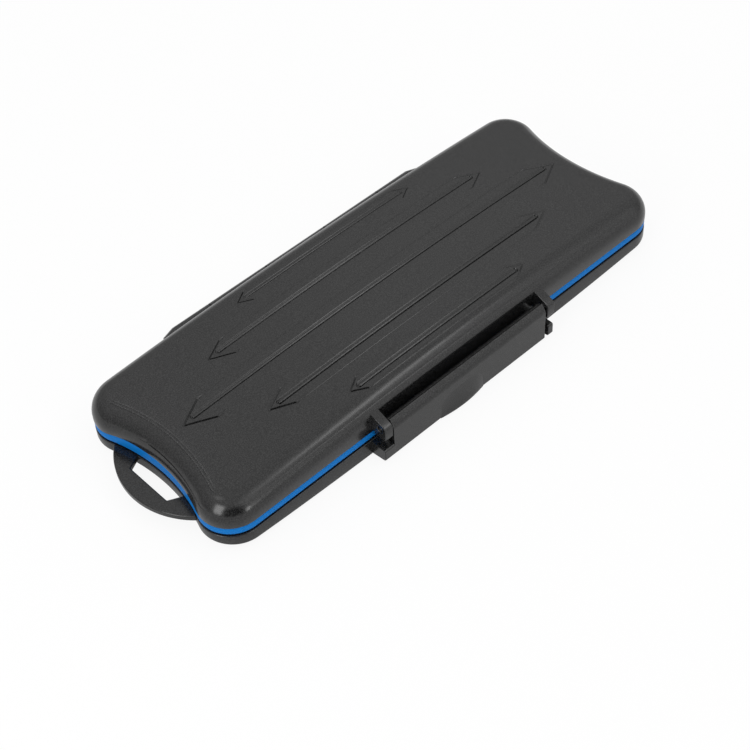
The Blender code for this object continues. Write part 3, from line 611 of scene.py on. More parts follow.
def arrow_tree():
    """One long arrow on its own panel: lines cut round the shaft and along the heads, and a step at both edges."""
    name = "Arrow relief"
    if name in bpy.data.node_groups:
        return bpy.data.node_groups[name]
    tree = geometry_tree(name, lengths={
        "Middle X": 0.0, "Middle Y": 0.0, "Half Length": 0.08, "Half Width": 0.005, "Head Length": 0.01,
        "Margin": 0.0007, "Depth": 0.0007, "Near Step": 0.00002, "Far Step": -0.00004, "Shaft Offset": 0.0,
        "Shaft Reach": 0.08, "Shaft Half Width": 0.0006, "Line Width": 0.0007, "Line Depth": 0.0002,
        "Chamfer": 0.0003, "Floor": 0.0001, "Barb Width": 0.0008, "Barb Depth": 0.0005, "Crown Top": CASE_TOP,
        "End Drop": 0.003, "Side Drop": 0.0006, "Case Half Length": 0.1, "Case Half Width": 0.0374,
        "Roll": 0.0073}, shares={"Far Barb": 0.45, "Right Barb": 0.55},
        counts={"Columns": 240, "Rows": 80, "Body Columns": BODY_COLUMNS})
    t = Tree(tree)
    given = t.given()
    half_length, half_width, head = given["Half Length"], given["Half Width"], given["Head Length"]
    margin, half_shaft, roll = given["Margin"], given["Shaft Half Width"], given["Roll"]
    slant = t.math("SQRT", head * head + half_width * half_width)
    outer_length = half_length + margin * slant / half_width
    outer_width = half_width + margin
    outer_head = head * (outer_width / half_width)

    # The even block becomes a hexagonal panel, with most of its columns in the two heads.
    block = t.make("GeometryNodeMeshCube", Size=(2.0, 2.0, 1.0), Vertices_X=given["Columns"],
                   Vertices_Y=given["Rows"], Vertices_Z=2)
    block_x, block_y, block_z = t.axes(t.make("GeometryNodeInputPosition"))
    share = given["Body Columns"] / given["Columns"]
    past = t.most(abs(block_x) - share, 0.0) / (1.0 - share)
    body = t.least(abs(block_x), share) / share
    reach = body * (outer_length - outer_head) + past * outer_head
    x = t.math("SIGN", block_x) * reach
    y = block_y * (outer_width * t.most(1.0 - past, 0.01))

    # The shaft's two lines and its round ends are one line at an even distance from a middle line.
    across = y - given["Shaft Offset"]
    beyond = t.most(reach - (given["Shaft Reach"] - half_shaft), 0.0)
    from_shaft = abs(t.length(beyond, across) - half_shaft)
    nearness = t.most(t.least(across / half_shaft, 1.0), -1.0)
    shaft_depth = given["Line Depth"] * t.math("MULTIPLY_ADD", nearness, -0.22, 1.0)
    shaft = groove(t, t.most(from_shaft - given["Floor"], 0.0), given["Line Width"], shaft_depth)

    # The far side of both straight lines slopes up gently, which is where they catch the light.
    straight = beyond < 0.00001
    end = t.math("MULTIPLY_ADD", given["Line Width"], 0.39, given["Chamfer"]) + given["Floor"]
    steep = t.math("MULTIPLY_ADD", given["Middle Y"] + 0.028, 2.5, 0.53)
    slopes = []
    for sign in (-1.0, 1.0):
        past_line = across - half_shaft * sign
        run = t.least(t.most(end - past_line, 0.0), given["Chamfer"])
        slopes.append(run * t.math("MULTIPLY_ADD", run, 300.0, steep) * ((past_line > 0.0) * straight))
    shaft = t.most(shaft, t.most(*slopes))

    # A head's two lines run back from its tip.
    side, back = abs(y), half_length - reach
    along = (back * head + side * half_width) / (slant * slant)
    along = t.most(t.least(along, 1.0), 0.0)
    from_barb = t.length(back - along * head, side - along * half_width)
    far = t.smooth_step(y, -0.0003, 0.0003, 1.0, given["Far Barb"])
    right = t.smooth_step(x, -0.0003, 0.0003, 1.0, given["Right Barb"])
    cut = t.most(shaft, groove(t, from_barb, given["Barb Width"], given["Barb Depth"] * (far * right)))

    # The panel stands a little proud at one edge and lies a little low at the other, and its rim is tucked in.
    tilt = t.smooth_step(y / half_width, -1.0, 1.0, given["Near Step"], given["Far Step"])
    slanted = ((outer_length - reach) * half_width - side * head) / slant
    rim = t.least(slanted, outer_width - side)
    step = tilt * t.smooth_step(rim, margin - 0.00032, margin)
    tuck = (rim < 0.00004) * 0.000012

    # All of it lies on the lid's crown and the roll along its sides.
    case_x, case_y = x + given["Middle X"], y + given["Middle Y"]
    end_share = (abs(case_x) / given["Case Half Length"]) ** 2.0
    side_share = (abs(case_y) / given["Case Half Width"]) ** 2.0
    fall = end_share * given["End Drop"] + side_share * given["Side Drop"]
    over = t.most(abs(case_y) - (given["Case Half Width"] - roll), 0.0)
    rolled = roll - t.math("SQRT", roll * roll - over * over)
    surface = given["Crown Top"] - fall - rolled
    top = surface + step - (cut + tuck)
    under = surface - given["Depth"]
    spot = t.point(X=case_x, Y=case_y, Z=(block_z > 0.0) * (top - under) + under)
    finish_tree(t, given, t.make("GeometryNodeSetPosition", Geometry=block, Position=spot))
    return tree


def rounded_frame(t, width, height, radius, steps):
    """A rectangle with rounded corners."""
    frame_curve = t.make("GeometryNodeCurvePrimitiveQuadrilateral", Width=width, Height=height)
    return t.make("GeometryNodeFilletCurve", {"mode": "POLY"}, Curve=frame_curve, Radius=radius, Count=steps)


def tray_tree():
    """Cuts rows of card slots with finger hollows out of a tray blank."""
    name = "Card slots"
    if name in bpy.data.node_groups:
        return bpy.data.node_groups[name]
    tree = geometry_tree(name, lengths={"First Column": COLUMN_PITCH / 2, "Cut From": 0.0, **SLOT_SIZES},
                         counts={"Columns": CARD_COLUMNS})
    t = Tree(tree)
    given = t.given()
    pitch, height = given["Column Pitch"], given["Cut Height"]
    across = pitch * (given["Columns"] - 1.0)
    corner = rounded_frame(t, given["Slot Width"], given["Slot Length"], given["Slot Corner"], 5)
    floor = t.make("GeometryNodeFillCurve", {"mode": "NGONS"}, Curve=corner)
    cell = t.add("GeometryNodeJoinGeometry")
    for part in (t.make("GeometryNodeExtrudeMesh", Mesh=floor, Offset=t.point(Z=height), Offset_Scale=1.0,
                        Individual=False), t.make("GeometryNodeFlipFaces", Mesh=floor)):
        t.put(cell.inputs[0], part)
    welded = t.make("GeometryNodeMergeByDistance", Geometry=cell.outputs[0], Distance=1e-6)
    spots = t.make("GeometryNodeMeshGrid", Vertices_X=given["Columns"], Vertices_Y=2, Size_X=across,
                   Size_Y=given["Row Pitch"])
    drum = t.make("GeometryNodeMeshCylinder", Vertices=48, Radius=given["Finger Radius"], Depth=height)
    drum = t.make("GeometryNodeTransform", Geometry=drum, Translation=t.point(Z=height * 0.5))
    row = t.make("GeometryNodeMeshLine", Count=given["Columns"], Offset=t.point(X=pitch),
                 Start_Location=t.point(X=across * -0.5))
    place = t.point(X=given["First Column"] + across * 0.5, Z=given["Cut From"])
    tray = given["Geometry"]
    for points, tool in ((spots, welded), (row, drum)):
        copies = t.make("GeometryNodeInstanceOnPoints", Points=points, Instance=tool)
        real = t.make("GeometryNodeRealizeInstances", Geometry=copies)
        moved = t.make("GeometryNodeTransform", Geometry=real, Translation=place)
        tray = t.make("GeometryNodeMeshBoolean", {"operation": "DIFFERENCE", "solver": "EXACT"}, Mesh_1=tray,
                      Mesh_2=moved)
    finish_tree(t, given, tray)
    return tree


def band_tree():
    """Sweeps a rounded rubber section round the outline of the case, with its top risen in the ends."""
    name = "Seal band"
    if name in bpy.data.node_groups:
        return bpy.data.node_groups[name]
    tree = geometry_tree(name, lengths={
        "Width": SEAL_WIDTH, "Height": 0.0030, "Round": 0.0006, "Middle Height": 0.01, "End Rise": 0.0014,
        "Rise From": RISE_FROM, "Rise To": RISE_TO})
    t = Tree(tree)
    given = t.given()
    path = t.make("GeometryNodeMeshToCurve", Mesh=given["Geometry"])
    upright = t.make("GeometryNodeSetCurveNormal", {"mode": "Z_UP"}, Curve=path)
    section = rounded_frame(t, given["Width"], given["Height"], given["Round"], 6)
    swept = t.make("GeometryNodeCurveToMesh", Curve=upright, Profile_Curve=section)
    _, y, z = t.axes(t.make("GeometryNodeInputPosition"))
    rise = t.smooth_step(abs(y), given["Rise From"], given["Rise To"], given["End Rise"], 0.0) * (z > 0.0)
    stretched = t.make("GeometryNodeSetPosition", Geometry=swept, Offset=t.point(Z=rise))
    finish_tree(t, given, t.make("GeometryNodeTransform", Geometry=stretched,
                                 Translation=t.point(Z=given["Middle Height"])))
    return tree


# Meshes of the shells

def roll_ring(plan, inset, surface, radius, up, turn, cut):
    """One ring of a rolled edge, at an angle up from its wall, drawn in by a cut."""
    angle = math.radians(turn)
    drop = radius - (radius - cut) * math.sin(angle)
    return plan.ring(inset + radius - (radius - cut) * math.cos(angle), lambda x, y: surface(x, y) - up * drop)


def line_share(plan, point, place):
    """How much of a fine line there is at a point: along the near side, or in the hollow of the left end."""
    if place == "side":
        return max(0.0, min(1.0, (plan.corner_x - SIDE_CLEAR - abs(point.x)) / SIDE_FADE)) if point.y < 0 else 0.0
    if point.x > 0:
        return 0.0
    far, near = LINE_REACH[place]
    return max(0.0, min(1.0, (far - point.y) / LINE_FADE)) * max(0.0, min(1.0, (point.y - near) / LINE_FADE))


def rounded_rings(plan, inset, edge, surface, radius, up, steps, lip=0.0, lines=()):
    """Rings of an upright wall, its rolled edge, with fine lines along it, and the wide face after it."""
    rings = [plan.ring(inset, edge)]
    if lip:
        rings = [plan.ring(inset + lip * (1.0 - math.sin(a)),
                           lambda x, y, more=up * lip * (1.0 - math.cos(a)): edge(x, y) + more)
                 for a in (0.0, 0.39, 0.79, 1.18, math.pi / 2)]
    turns = [90.0 * step / steps for step in range(steps + 1)]
    for tilt, _, _ in lines:
        turns = [turn for turn in turns if abs(turn - 90.0 + tilt) > LINE_SPREAD]
        turns += [90.0 - tilt + LINE_SPREAD * out for out in (-1.0, -0.7, -0.35, 0.0, 0.35, 0.7, 1.0)]
    for turn in sorted(turns):
        ring = roll_ring(plan, inset, surface, radius, up, turn, 0.0)
        for tilt, depth, place in lines:
            off = turn - 90.0 + tilt
            if abs(off) < LINE_SPREAD:
                share = math.cos(math.pi / 2 * off / LINE_SPREAD)
                low = roll_ring(plan, inset, surface, radius, up, turn, depth * share)
                ring = [point.lerp(cut, line_share(plan, point, place)) for point, cut in zip(ring, low)]
        rings.append(ring)
    return rings + [plan.towards_middle(rings[-1], share, surface) for share in CROWN_SHARES]


def shell_mesh(plan, name, edge, surface, radius, inside_radius, wall, up, keep_out=None, lines=()):
    """A closed shell: outer face, rounded meeting edge and inner face."""
    outer = rounded_rings(plan, 0.0, edge, surface, radius, up, FILLET_STEPS, plan.sizes.seam_round, lines)
    inner = rounded_rings(plan, wall, edge, lambda x, y: surface(x, y) - up * wall, inside_radius, up, INSIDE_STEPS)
    rings = list(reversed(inner)) + outer
    if keep_out:
        for points in rings:
            keep_out(points)
    return skin(name, rings)


def panel_outline(relief, lane):
    """Half length, half width and head length of an arrow's panel: its hexagon and the margin round it."""
    margin, half_width = relief.margin, lane.half_width
    return (lane.half_length + margin * math.hypot(lane.head, half_width) / half_width, half_width + margin,
            lane.head * (half_width + margin) / half_width)


def pocket(plan, relief, lane, number):
    """The space that an arrow's panel takes up in the lid."""
    half_length, half_width, head = panel_outline(relief, lane)
    body, floor = half_length - head, relief.panel_depth + POCKET_FLOOR_GAP
    places = [(-body + 2 * body * step / POCKET_STEPS, half_width - PANEL_CLEARANCE)
              for step in range(POCKET_STEPS + 1)]
    places = [(-half_length + 2 * PANEL_CLEARANCE, POCKET_TIP), *places,
              (half_length - 2 * PANEL_CLEARANCE, POCKET_TIP)]
    rings = []
    for x, reach in places:
        case_x, near, far = x + lane.middle_x, lane.middle_y - reach, lane.middle_y + reach
        corners = ((near, -floor), (far, -floor), (far, POCKET_TOP), (near, POCKET_TOP))
        rings.append([Vector((case_x, y, plan.lid_surface(case_x, y) + rise)) for y, rise in corners])
    return skin(f"pocket_{number}", rings, capped=True)


class CARDCASE_OT_lid_cover(bpy.types.Operator):
    """Build the crowned lid with its rolled edge, the flat recess behind the latch and a place for each arrow"""
    bl_idname = "card_case.lid_cover"
    bl_label = "Lid cover"

    def execute(self, context):
        plan = Plan(context.scene)
        sizes, relief = plan.sizes, context.scene.card_case_relief
        recess_y = -(plan.half_width - RECESS_DEPTH)

        def press_recess(points):
            for point in points:
                if abs(point.x) < LATCH_HALF and point.y < recess_y:
                    point.y = recess_y

        mesh = shell_mesh(plan, "lid_cover", plan.lid_edge, plan.lid_height, sizes.lid_edge_radius,
                          sizes.lid_edge_radius - sizes.lid_wall, sizes.lid_wall, 1, press_recess, ROLL_LINES)
        mesh = drilled(mesh, *(pocket(plan, relief, lane, number) for number, lane in enumerate(ARROW_LANES, 1)))
        lid = show(mesh, "lid_cover", "lid", shell_material(context.scene))
        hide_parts("lid_shell")
        return {"FINISHED"}


class CARDCASE_OT_arrows(bpy.types.Operator):
    """Build the five arrows, each with its lines cut in a panel that lies in the lid"""
    bl_idname = "card_case.arrows"
    bl_label = "Arrow relief"

    def execute(self, context):
        plan = Plan(context.scene)
        sizes, relief = plan.sizes, context.scene.card_case_relief
        material = shell_material(context.scene)
        shared = {
            "Margin": relief.margin, "Depth": relief.panel_depth, "Line Width": relief.line_width,
            "Chamfer": relief.chamfer, "Floor": relief.flat, "Barb Depth": relief.barb_depth,
            "Far Barb": relief.far_barb, "Right Barb": relief.right_barb, "Crown Top": CASE_TOP,
            "End Drop": sizes.end_drop, "Side Drop": sizes.side_drop, "Case Half Length": plan.half_length,
            "Case Half Width": plan.half_width, "Roll": sizes.lid_edge_radius, "Body Columns": BODY_COLUMNS,
            "Material": material}
        for number, lane in enumerate(ARROW_LANES, 1):
            name = f"lid_arrow_{number}"
            _, wide, long_head = panel_outline(relief, lane)
            mesh = grown(name, bpy.data.meshes.new(name), arrow_tree(), {
                **shared, "Middle X": lane.middle_x, "Middle Y": lane.middle_y, "Half Length": lane.half_length,
                "Half Width": lane.half_width, "Head Length": lane.head, "Near Step": lane.near_step,
                "Far Step": lane.far_step, "Shaft Offset": lane.shaft_offset,
                "Shaft Reach": lane.half_length - lane.shaft_setback, "Shaft Half Width": lane.shaft_half_width,
                "Line Depth": relief.line_depth * lane.line_share, "Barb Width": lane.barb_width,
                "Columns": round(long_head / relief.grid) + BODY_COLUMNS, "Rows": round(2 * wide / relief.grid)})
            show(mesh, name, "lid", material, 60.0)
        return {"FINISHED"}


class CARDCASE_OT_base_tub(bpy.types.Operator):
    """Build the lower shell with its risen ends"""
    bl_idname = "card_case.base_tub"
    bl_label = "Base tub"

    def execute(self, context):
        plan = Plan(context.scene)
        sizes = plan.sizes
        mesh = shell_mesh(plan, "base_tub", lambda x, y: BASE_TOP, plan.belly_height, sizes.base_edge_radius,
                          BASE_INSIDE_RADIUS, sizes.base_wall, -1)
        base = show(mesh, "base_tub", "base", shell_material(context.scene))
        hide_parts("base_shell")
        return {"FINISHED"}


class CARDCASE_OT_loop(bpy.types.Operator):
    """Build the flat carrying loop at the end of the base"""
    bl_idname = "card_case.loop"
    bl_label = "Carrying loop"

    def execute(self, context):
        plan = Plan(context.scene)
        tip = -(plan.end_wall(0.0) + LOOP_REACH)
        wall_x, inner_wall_x = -plan.end_wall(LOOP_HALF_SPAN), -plan.end_wall(HOLE_HALF_INNER)
        rise = wall_x - tip
        radius = (LOOP_HALF_SPAN ** 2 + rise ** 2) / (2 * rise)
        sweep = math.asin(LOOP_HALF_SPAN / radius)
        band = arc((tip + radius, 0.0), radius, math.pi - sweep, math.pi + sweep, 64)
        near = [(wall_x + LOOP_ROOT, -LOOP_HALF_SPAN + LOOP_ROOT), (inner_wall_x + LOOP_ROOT, -HOLE_HALF_INNER),
                (inner_wall_x, -HOLE_HALF_INNER), (tip + LOOP_BAND, -HOLE_HALF_OUTER)]
        far = [(x, -y) for x, y in reversed(near)]
        mesh = slab("carrying_loop", band + near + far, LOOP_TOP - LOOP_THICKNESS, LOOP_TOP)
        loop = show(mesh, "carrying_loop", "base", shell_material(context.scene))
        soften(loop, LOOP_ROUND, 4, 40.0)
        return {"FINISHED"}


class CARDCASE_OT_seal(bpy.types.Operator):
    """Sweep the blue rubber seal round the case between its shells"""
    bl_idname = "card_case.seal"
    bl_label = "Seal band"

    def execute(self, context):
        plan = Plan(context.scene)
        low, high = BASE_TOP + SEAL_GAP_BELOW, LID_EDGE - SEAL_GAP_ABOVE
        points = plan.outline(SEAL_INSET + SEAL_WIDTH / 2)
        path = bpy.data.meshes.new("seal_path")
        path.from_pydata([(x, y, 0.0) for x, y in points],
                         [(i, (i + 1) % len(points)) for i in range(len(points))], [])
        material = seal_material(context.scene)
        mesh = grown("seal_band", path, band_tree(), {
            "Width": SEAL_WIDTH, "Height": high - low, "Round": SEAL_ROUND, "Middle Height": (low + high) / 2,
            "End Rise": plan.sizes.end_rise, "Rise From": RISE_FROM, "Rise To": RISE_TO, "Material": material})
        seal = show(mesh, "seal_band", "lid", material, 50.0)
        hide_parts("seal_ring")
        return {"FINISHED"}


class CARDCASE_OT_trays(bpy.types.Operator):
    """Build the four card trays, two in the base and two in the lid"""
    bl_idname = "card_case.trays"
    bl_label = "Card trays"

    def execute(self, context):
        plan = Plan(context.scene)
        material = tray_material(context.scene)
        edge_y = plan.half_width - TRAY_INSET
        for part in ("base", "lid"):
            for side, word in ((-1, "left"), (1, "right")):
                node, name = f"{part}_tray_{word}", f"{part}_cards_{word}"
                box_low, box_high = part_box(node)
                split = side * TRAY_HALF_SPLIT
                outline = [(x, y) for x, y in plan.outline(TRAY_INSET) if x * side > TRAY_HALF_SPLIT]
                outline = [(split, -side * edge_y), *outline, (split, side * edge_y)]
                face = box_high.z if part == "base" else box_low.z
                back = face - TRAY_HEIGHT if part == "base" else face + TRAY_HEIGHT
                cut_from = face - (SLOT_DEPTH if part == "base" else SLOT_OVER)
                blank = slab(node, outline, min(face, back), max(face, back))
                first = side * COLUMN_PITCH / 2 - (COLUMN_PITCH * (CARD_COLUMNS - 1) if side < 0 else 0.0)
                mesh = grown(name, blank, tray_tree(), {**SLOT_SIZES, "First Column": first, "Cut From": cut_from,
                                                        "Columns": CARD_COLUMNS, "Material": material})
                tray = show(mesh, name, part, material, 30.0)
                soften(tray, TRAY_ROUND, 2, 50.0)
                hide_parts(node)
        return {"FINISHED"}


def lid_knuckle_profile(plan):
    barrel = arc((HINGE_Y, HINGE_Z), HINGE_RADIUS, math.radians(110), math.radians(-175), 36)
    root, elbow, low = plan.half_width - LID_ROOT, plan.half_width + LID_ROOT, LID_EDGE + SEAM_GAP
    return barrel + [(elbow, low), (root, low), (root, low + HINGE_WEB)]


def base_knuckle_profile(plan, inward=0.0):
    radius = HINGE_RADIUS - inward
    top, root = BASE_TOP - SEAM_GAP, plan.half_width - BASE_ROOT
    start = math.pi - math.asin((top - HINGE_Z) / radius)
    barrel = arc((HINGE_Y, HINGE_Z), radius, start, -math.pi / 2, 36)
    return barrel + [(root, top - HINGE_WEB + inward), (root, top)]


class CARDCASE_OT_hinge(bpy.types.Operator):
    """Build the knuckles of the hinge on both shells"""
    bl_idname = "card_case.hinge"
    bl_label = "Hinge knuckles"

    def execute(self, context):
        plan = Plan(context.scene)
        material = shell_material(context.scene)

        def knuckle(mesh, body):
            soften(show(mesh, mesh.name, body, material), plan.sizes.edge_round * 0.6)

        knuckle(prism("hinge_middle", base_knuckle_profile(plan), -HALF_MIDDLE, HALF_MIDDLE), "base")
        inner = HALF_MIDDLE + 2 * KNUCKLE_GAP + LID_KNUCKLE
        for side, word in ((-1, "left"), (1, "right")):
            start = side * (HALF_MIDDLE + KNUCKLE_GAP)
            knuckle(prism(f"hinge_lid_{word}", lid_knuckle_profile(plan), start, start + side * LID_KNUCKLE), "lid")
            places = ((inner, 0.0), (HALF_HINGE - TAPER_LENGTH, 0.0), (HALF_HINGE, TAPER_DEPTH))
            rings = [[Vector((side * x, y, z)) for y, z in base_knuckle_profile(plan, inward)]
                     for x, inward in places]
            knuckle(skin(f"hinge_end_{word}", rings, capped=True), "base")
        return {"FINISHED"}


class CARDCASE_OT_latch(bpy.types.Operator):
    """Build the latch: lugs on the lid, keepers and catch on the base, and the flap between them"""
    bl_idname = "card_case.latch"
    bl_label = "Latch"

    def execute(self, context):
        plan = Plan(context.scene)
        material = shell_material(context.scene)
        edge = plan.sizes.edge_round
        low, seam = CASE_TOP - LUG_DROP - LUG_HEIGHT, LID_EDGE + SEAM_GAP
        front = [(LUG_REACH * out, low + LUG_HEIGHT * up)
                 for out, up in ((0.83, 0.75), (0.95, 0.69), (1.0, 0.60), (0.97, 0.09), (0.87, 0.0))]
        lug = plan.side_profile([(-LUG_ROOT, low + LUG_HEIGHT), (-LUG_SHOULDER, low + LUG_HEIGHT), *front,
                                 (LUG_HEEL, low), (LUG_HEEL, seam), (-LUG_ROOT, seam)])
        keeper_top = BASE_TOP - SEAM_GAP
        nose = [(KEEPER_REACH * out, KEEPER_LOW + (keeper_top - KEEPER_LOW) * up)
                for out, up in ((0.92, 0.17), (1.0, 0.27), (1.0, 0.92), (0.93, 1.0))]
        keeper = plan.side_profile([(-BASE_ROOT, KEEPER_LOW), *nose, (-BASE_ROOT, keeper_top)])
        for side, word, keeper_width in ((-1, "left", LEFT_KEEPER), (1, "right", RIGHT_KEEPER)):
            start, floor = side * LATCH_HALF, LATCH_HALF + LUG_WIDTH - BORE_DEPTH
            bore = prism("bore", circle((LATCH_Y, LATCH_Z), BORE_RADIUS), side * floor,
                         side * (LATCH_HALF + LUG_WIDTH + BORE_OVERRUN))
            mesh = drilled(prism(f"latch_lug_{word}", lug, start, side * (LATCH_HALF + LUG_WIDTH)), bore)
            soften(show(mesh, f"latch_lug_{word}", "lid", material), edge, 3, 25.0)
            mesh = prism(f"latch_keeper_{word}", keeper, start, side * (LATCH_HALF + keeper_width))
            soften(show(mesh, f"latch_keeper_{word}", "base", material), edge * 0.7, 3, 25.0)
        catch_low = LATCH_Z - HOOK_DROP + SEAM_GAP
        catch = plan.side_profile([(-BASE_ROOT, catch_low), (CATCH_REACH, catch_low),
                                   (CATCH_REACH, catch_low + CATCH_HEIGHT / 2),
                                   (CATCH_REACH / 2, catch_low + CATCH_HEIGHT),
                                   (-BASE_ROOT, catch_low + CATCH_HEIGHT)])
        mesh = prism("latch_catch", catch, -(LATCH_HALF - LUG_WIDTH), LATCH_HALF - LUG_WIDTH)
        soften(show(mesh, "latch_catch", "base", material), edge * 0.7)
        self.build_flap(material, edge)
        return {"FINISHED"}

    def build_flap(self, material, edge):
        """The flap's barrel, sloped and slightly full facet, face and hook, with the flared thumb lip on it."""
        barrel_back = math.asin(-math.sqrt(1 - (FLAP_BACK / BARREL_RADIUS) ** 2))
        barrel = arc((0.0, 0.0), BARREL_RADIUS, barrel_back, -1.5 * math.pi, 24)
        front = [(0.00065, 0.00244), (0.00092, 0.00212), (0.00122, 0.00172), (0.00158, 0.00119),
                 (0.00188, 0.00069), (0.00211, 0.00027), (0.00228, -0.00012), (0.00240, -0.00052),
                 (0.00247, -0.00092), (0.00250, -0.00135), (FLAP_FACE, -0.0129), (0.0021, -FLAP_DROP)]
        hook = [(-0.0012, -FLAP_DROP), (-0.0018, -0.0126), (-0.0018, -0.0103), (-0.0012, -HOOK_DROP),
                (FLAP_BACK, -HOOK_DROP)]
        profile = [(LATCH_Y - out, LATCH_Z + up) for out, up in front + hook + barrel]
        flap = show(prism("latch_flap_cover", profile, FLAP_LOW.x, FLAP_HIGH.x), "latch_flap_cover", "latch",
                    material)
        soften(flap, edge * 0.6, 3, 25.0)
        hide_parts("latch_flap")

        face, low = LATCH_Y - FLAP_FACE, LATCH_Z - FLAP_DROP
        rings = []
        shares = [step / THUMB_STEPS for step in range(-THUMB_STEPS, THUMB_STEPS + 1)]
        for up, out in ((0.0112, -0.00010), (0.0100, 0.00002), (0.0088, 0.00011), (0.0075, 0.00024),
                        (0.0062, 0.00039), (0.0048, 0.00057), (0.0034, 0.00077), (0.0020, 0.00099),
                        (0.0009, THUMB_REACH), (0.0004, THUMB_REACH), (0.0001, 0.0010)):
            bow = [(THUMB_HALF_LENGTH * share, -out * (1.0 - share ** 2)) for share in shares]
            back = [(THUMB_HALF_LENGTH, THUMB_ROOT), (-THUMB_HALF_LENGTH, THUMB_ROOT)]
            rings.append([Vector((THUMB_OFFSET + x, face + y, low + up)) for x, y in bow + back])
        show(skin("thumb_lip", rings, capped=True), "thumb_lip", "latch", material, 50.0)


class CARDCASE_OT_pins(bpy.types.Operator):
    """Build the steel pins with chamfered ends"""
    bl_idname = "card_case.pins"
    bl_label = "Pins"

    def execute(self, context):
        material = pin_material(context.scene)
        for node, body in (("latch_pin", "lid"), ("hinge_pin_left", "base"), ("hinge_pin_right", "base")):
            low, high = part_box(node)
            radius = (high.z - low.z) / 2
            ends = ((low.x, 0.45), (low.x + radius * 0.12, 0.72), (low.x + radius * 0.4, 1.0),
                    (high.x - radius * 0.4, 1.0), (high.x - radius * 0.12, 0.72), (high.x, 0.45))
            rings = [[Vector((x, y, z)) for y, z in circle(axis_of(low, high), radius * share)] for x, share in ends]
            pin = show(skin(f"{node}_rod", rings, capped=True), f"{node}_rod", body, material)
            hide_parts(node)
        return {"FINISHED"}


def frame_matrix(right, up, back, place):
    """A matrix from three axes and a place."""
    return Matrix([[right[i], up[i], back[i], place[i]] for i in range(3)] + [[0, 0, 0, 1]])


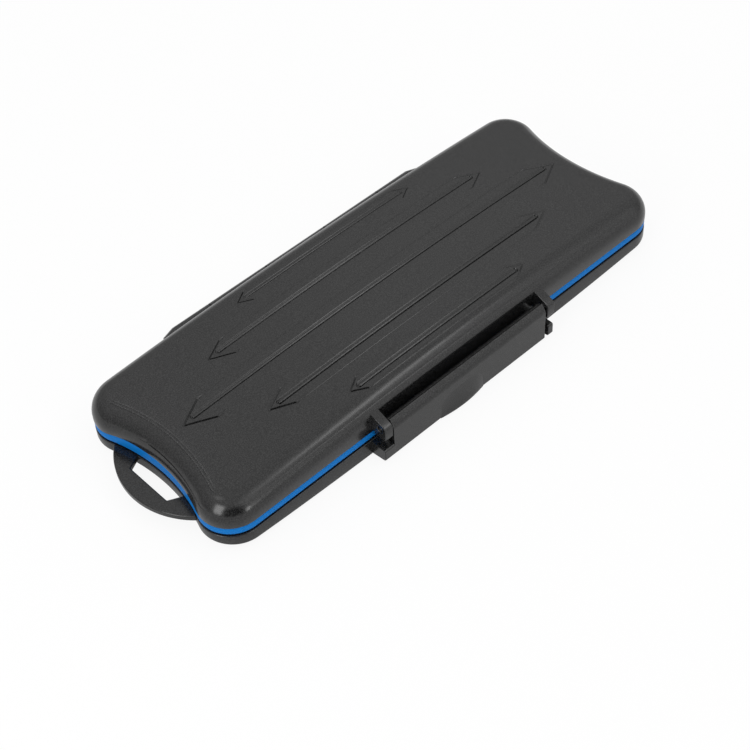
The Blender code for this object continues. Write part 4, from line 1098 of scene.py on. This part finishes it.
class CARDCASE_OT_studio(bpy.types.Operator):
    """Set the pale floor, the soft light and the camera"""
    bl_idname = "card_case.studio"
    bl_label = "Studio"

    def execute(self, context):
        scene = context.scene
        self.build_floor(scene)
        self.build_world(scene, scene.card_case_studio)
        self.build_boxes(scene, scene.card_case_studio)
        self.build_camera(scene)
        scene.view_settings.view_transform = "Standard"
        return {"FINISHED"}

    def build_floor(self, scene):
        """Paper that keeps the shadow, and is white to the camera and pale in what the case mirrors."""
        half, drop = 3.0, -0.0001
        mesh = bpy.data.meshes.new("studio_floor")
        mesh.from_pydata([(-half, -half, drop), (half, -half, drop), (half, half, drop), (-half, half, drop)], [],
                         [(0, 1, 2, 3)])
        floor = bpy.data.objects.new("studio_floor", mesh)
        scene.collection.objects.link(floor)
        material = bpy.data.materials.new("Studio paper")
        material.use_nodes = True
        material.node_tree.nodes.clear()
        t = Tree(material.node_tree)
        paper = t.make("ShaderNodeBsdfDiffuse", Color=(0.90, 0.90, 0.90, 1.0))
        white, mirrored = (t.make("ShaderNodeEmission", Color=(1.0, 1.0, 1.0, 1.0), Strength=strength)
                           for strength in (1.0, 0.72))
        rays = t.add("ShaderNodeLightPath").outputs
        seen = t.math("MULTIPLY", rays["Is Camera Ray"], 0.90)
        reflected = t.most(rays["Is Glossy Ray"], rays["Is Transmission Ray"]) * 0.50
        lower = t.mix_shaders(reflected, paper, mirrored)
        t.add("ShaderNodeOutputMaterial", Surface=t.mix_shaders(seen, lower, white))
        mesh.materials.append(material)

    def build_world(self, scene, settings):
        """A sky that grows lighter upwards, with soft patches and a shade."""
        world = scene.world = bpy.data.worlds.new("studio_sky")
        world.use_nodes = True
        world.node_tree.nodes.clear()
        t = Tree(world.node_tree)
        way = t.add("ShaderNodeTexCoord").outputs["Generated"]
        rise = t.least(t.most(t.axes(way)[2], 0.0) / SKY_FULL, 1.0)
        level = t.math("MULTIPLY_ADD", rise ** SKY_CURVE, SKY_GAIN, SKY_LOW)
        for patch in SKY_PATCHES:
            level = level + self.patch(t, way, *patch)
        level = level * (1.0 - self.patch(t, way, *SKY_SHADE)) * settings.sky_level
        t.add("ShaderNodeOutputWorld", Surface=t.make("ShaderNodeBackground", Color=(1.0, 1.0, 1.0, 1.0),
                                                      Strength=level))

    def patch(self, t, way, azimuth, elevation, inner, outer, gain):
        """A soft round patch of the sky, full inside one angle and gone past another."""
        near = t.add("ShaderNodeVectorMath", {"operation": "DOT_PRODUCT"})
        t.put(near.inputs[0], way)
        t.put(near.inputs[1], tuple(direction(azimuth, elevation)))
        return t.smooth_step(near.outputs["Value"], math.cos(math.radians(outer)), math.cos(math.radians(inner)), 0.0,
                             gain)

    def build_boxes(self, scene, settings):
        """A soft box at the left and a strip at the near right, each from two ends, a width and a brightness."""
        for name, start, end, width, level in (
                ("left_box", (-168.0, 6.2), (-168.0, 41.8), 0.32, settings.left_box),
                ("near_strip", (-70.0, 45.5), (-36.0, 55.0), 0.085, settings.near_box)):
            first, last = direction(*start) * LAMP_DISTANCE, direction(*end) * LAMP_DISTANCE
            light = bpy.data.lights.new(name, "AREA")
            light.shape = "RECTANGLE"
            light.size, light.size_y = (last - first).length, width
            light.energy = level * math.pi * light.size * width
            lamp = bpy.data.objects.new(name, light)
            scene.collection.objects.link(lamp)
            away, along = ((first + last) / 2).normalized(), (last - first).normalized()
            lamp.matrix_world = frame_matrix(along, away.cross(along), away, away * LAMP_DISTANCE)

    def build_camera(self, scene):
        camera = bpy.data.cameras.new("photo_view")
        camera.sensor_fit = "HORIZONTAL"
        camera.sensor_width = SENSOR_WIDTH
        camera.lens = FOCAL_SHARE * SENSOR_WIDTH
        camera.clip_start, camera.clip_end = 0.01, 20.0
        eye = scene.camera = bpy.data.objects.new("photo_view", camera)
        scene.collection.objects.link(eye)
        eye.matrix_world = frame_matrix(*CAMERA_AXES, CAMERA_PLACE)


class CARDCASE_PT_panel(bpy.types.Panel):
    """Sizes, colours and pieces of the card case"""
    bl_label = "Card Case"
    bl_idname = "CARDCASE_PT_panel"
    bl_space_type = "VIEW_3D"
    bl_region_type = "UI"
    bl_category = "Card Case"

    def draw(self, context):
        for name in GROUPS:
            group = getattr(context.scene, name)
            column = self.layout.column(align=True)
            for key in group.bl_rna.properties.keys():
                if key not in ("rna_type", "name"):
                    column.prop(group, key)
        column = self.layout.column(align=True)
        for operator in OPERATORS:
            column.operator(operator.bl_idname)


OPERATORS = (CARDCASE_OT_lid_cover, CARDCASE_OT_arrows, CARDCASE_OT_base_tub, CARDCASE_OT_loop, CARDCASE_OT_seal,
             CARDCASE_OT_trays, CARDCASE_OT_hinge, CARDCASE_OT_latch, CARDCASE_OT_pins, CARDCASE_OT_studio)
GROUPS = {"card_case_sizes": CardCaseSizes, "card_case_relief": CardCaseRelief,
          "card_case_colours": CardCaseColours, "card_case_studio": CardCaseStudio}


def register():
    for name, group in GROUPS.items():
        bpy.utils.register_class(group)
        setattr(bpy.types.Scene, name, PointerProperty(type=group))
    for thing in (*OPERATORS, CARDCASE_PT_panel):
        bpy.utils.register_class(thing)


def unregister():
    for thing in (CARDCASE_PT_panel, *reversed(OPERATORS)):
        bpy.utils.unregister_class(thing)
    for name, group in GROUPS.items():
        delattr(bpy.types.Scene, name)
        bpy.utils.unregister_class(group)


def main():
    register()
    build = bpy.ops.card_case
    for step in (build.studio, build.lid_cover, build.arrows, build.base_tub, build.loop, build.seal, build.trays,
                 build.hinge, build.latch, build.pins):
        step()


if __name__ == "__main__":
    main()
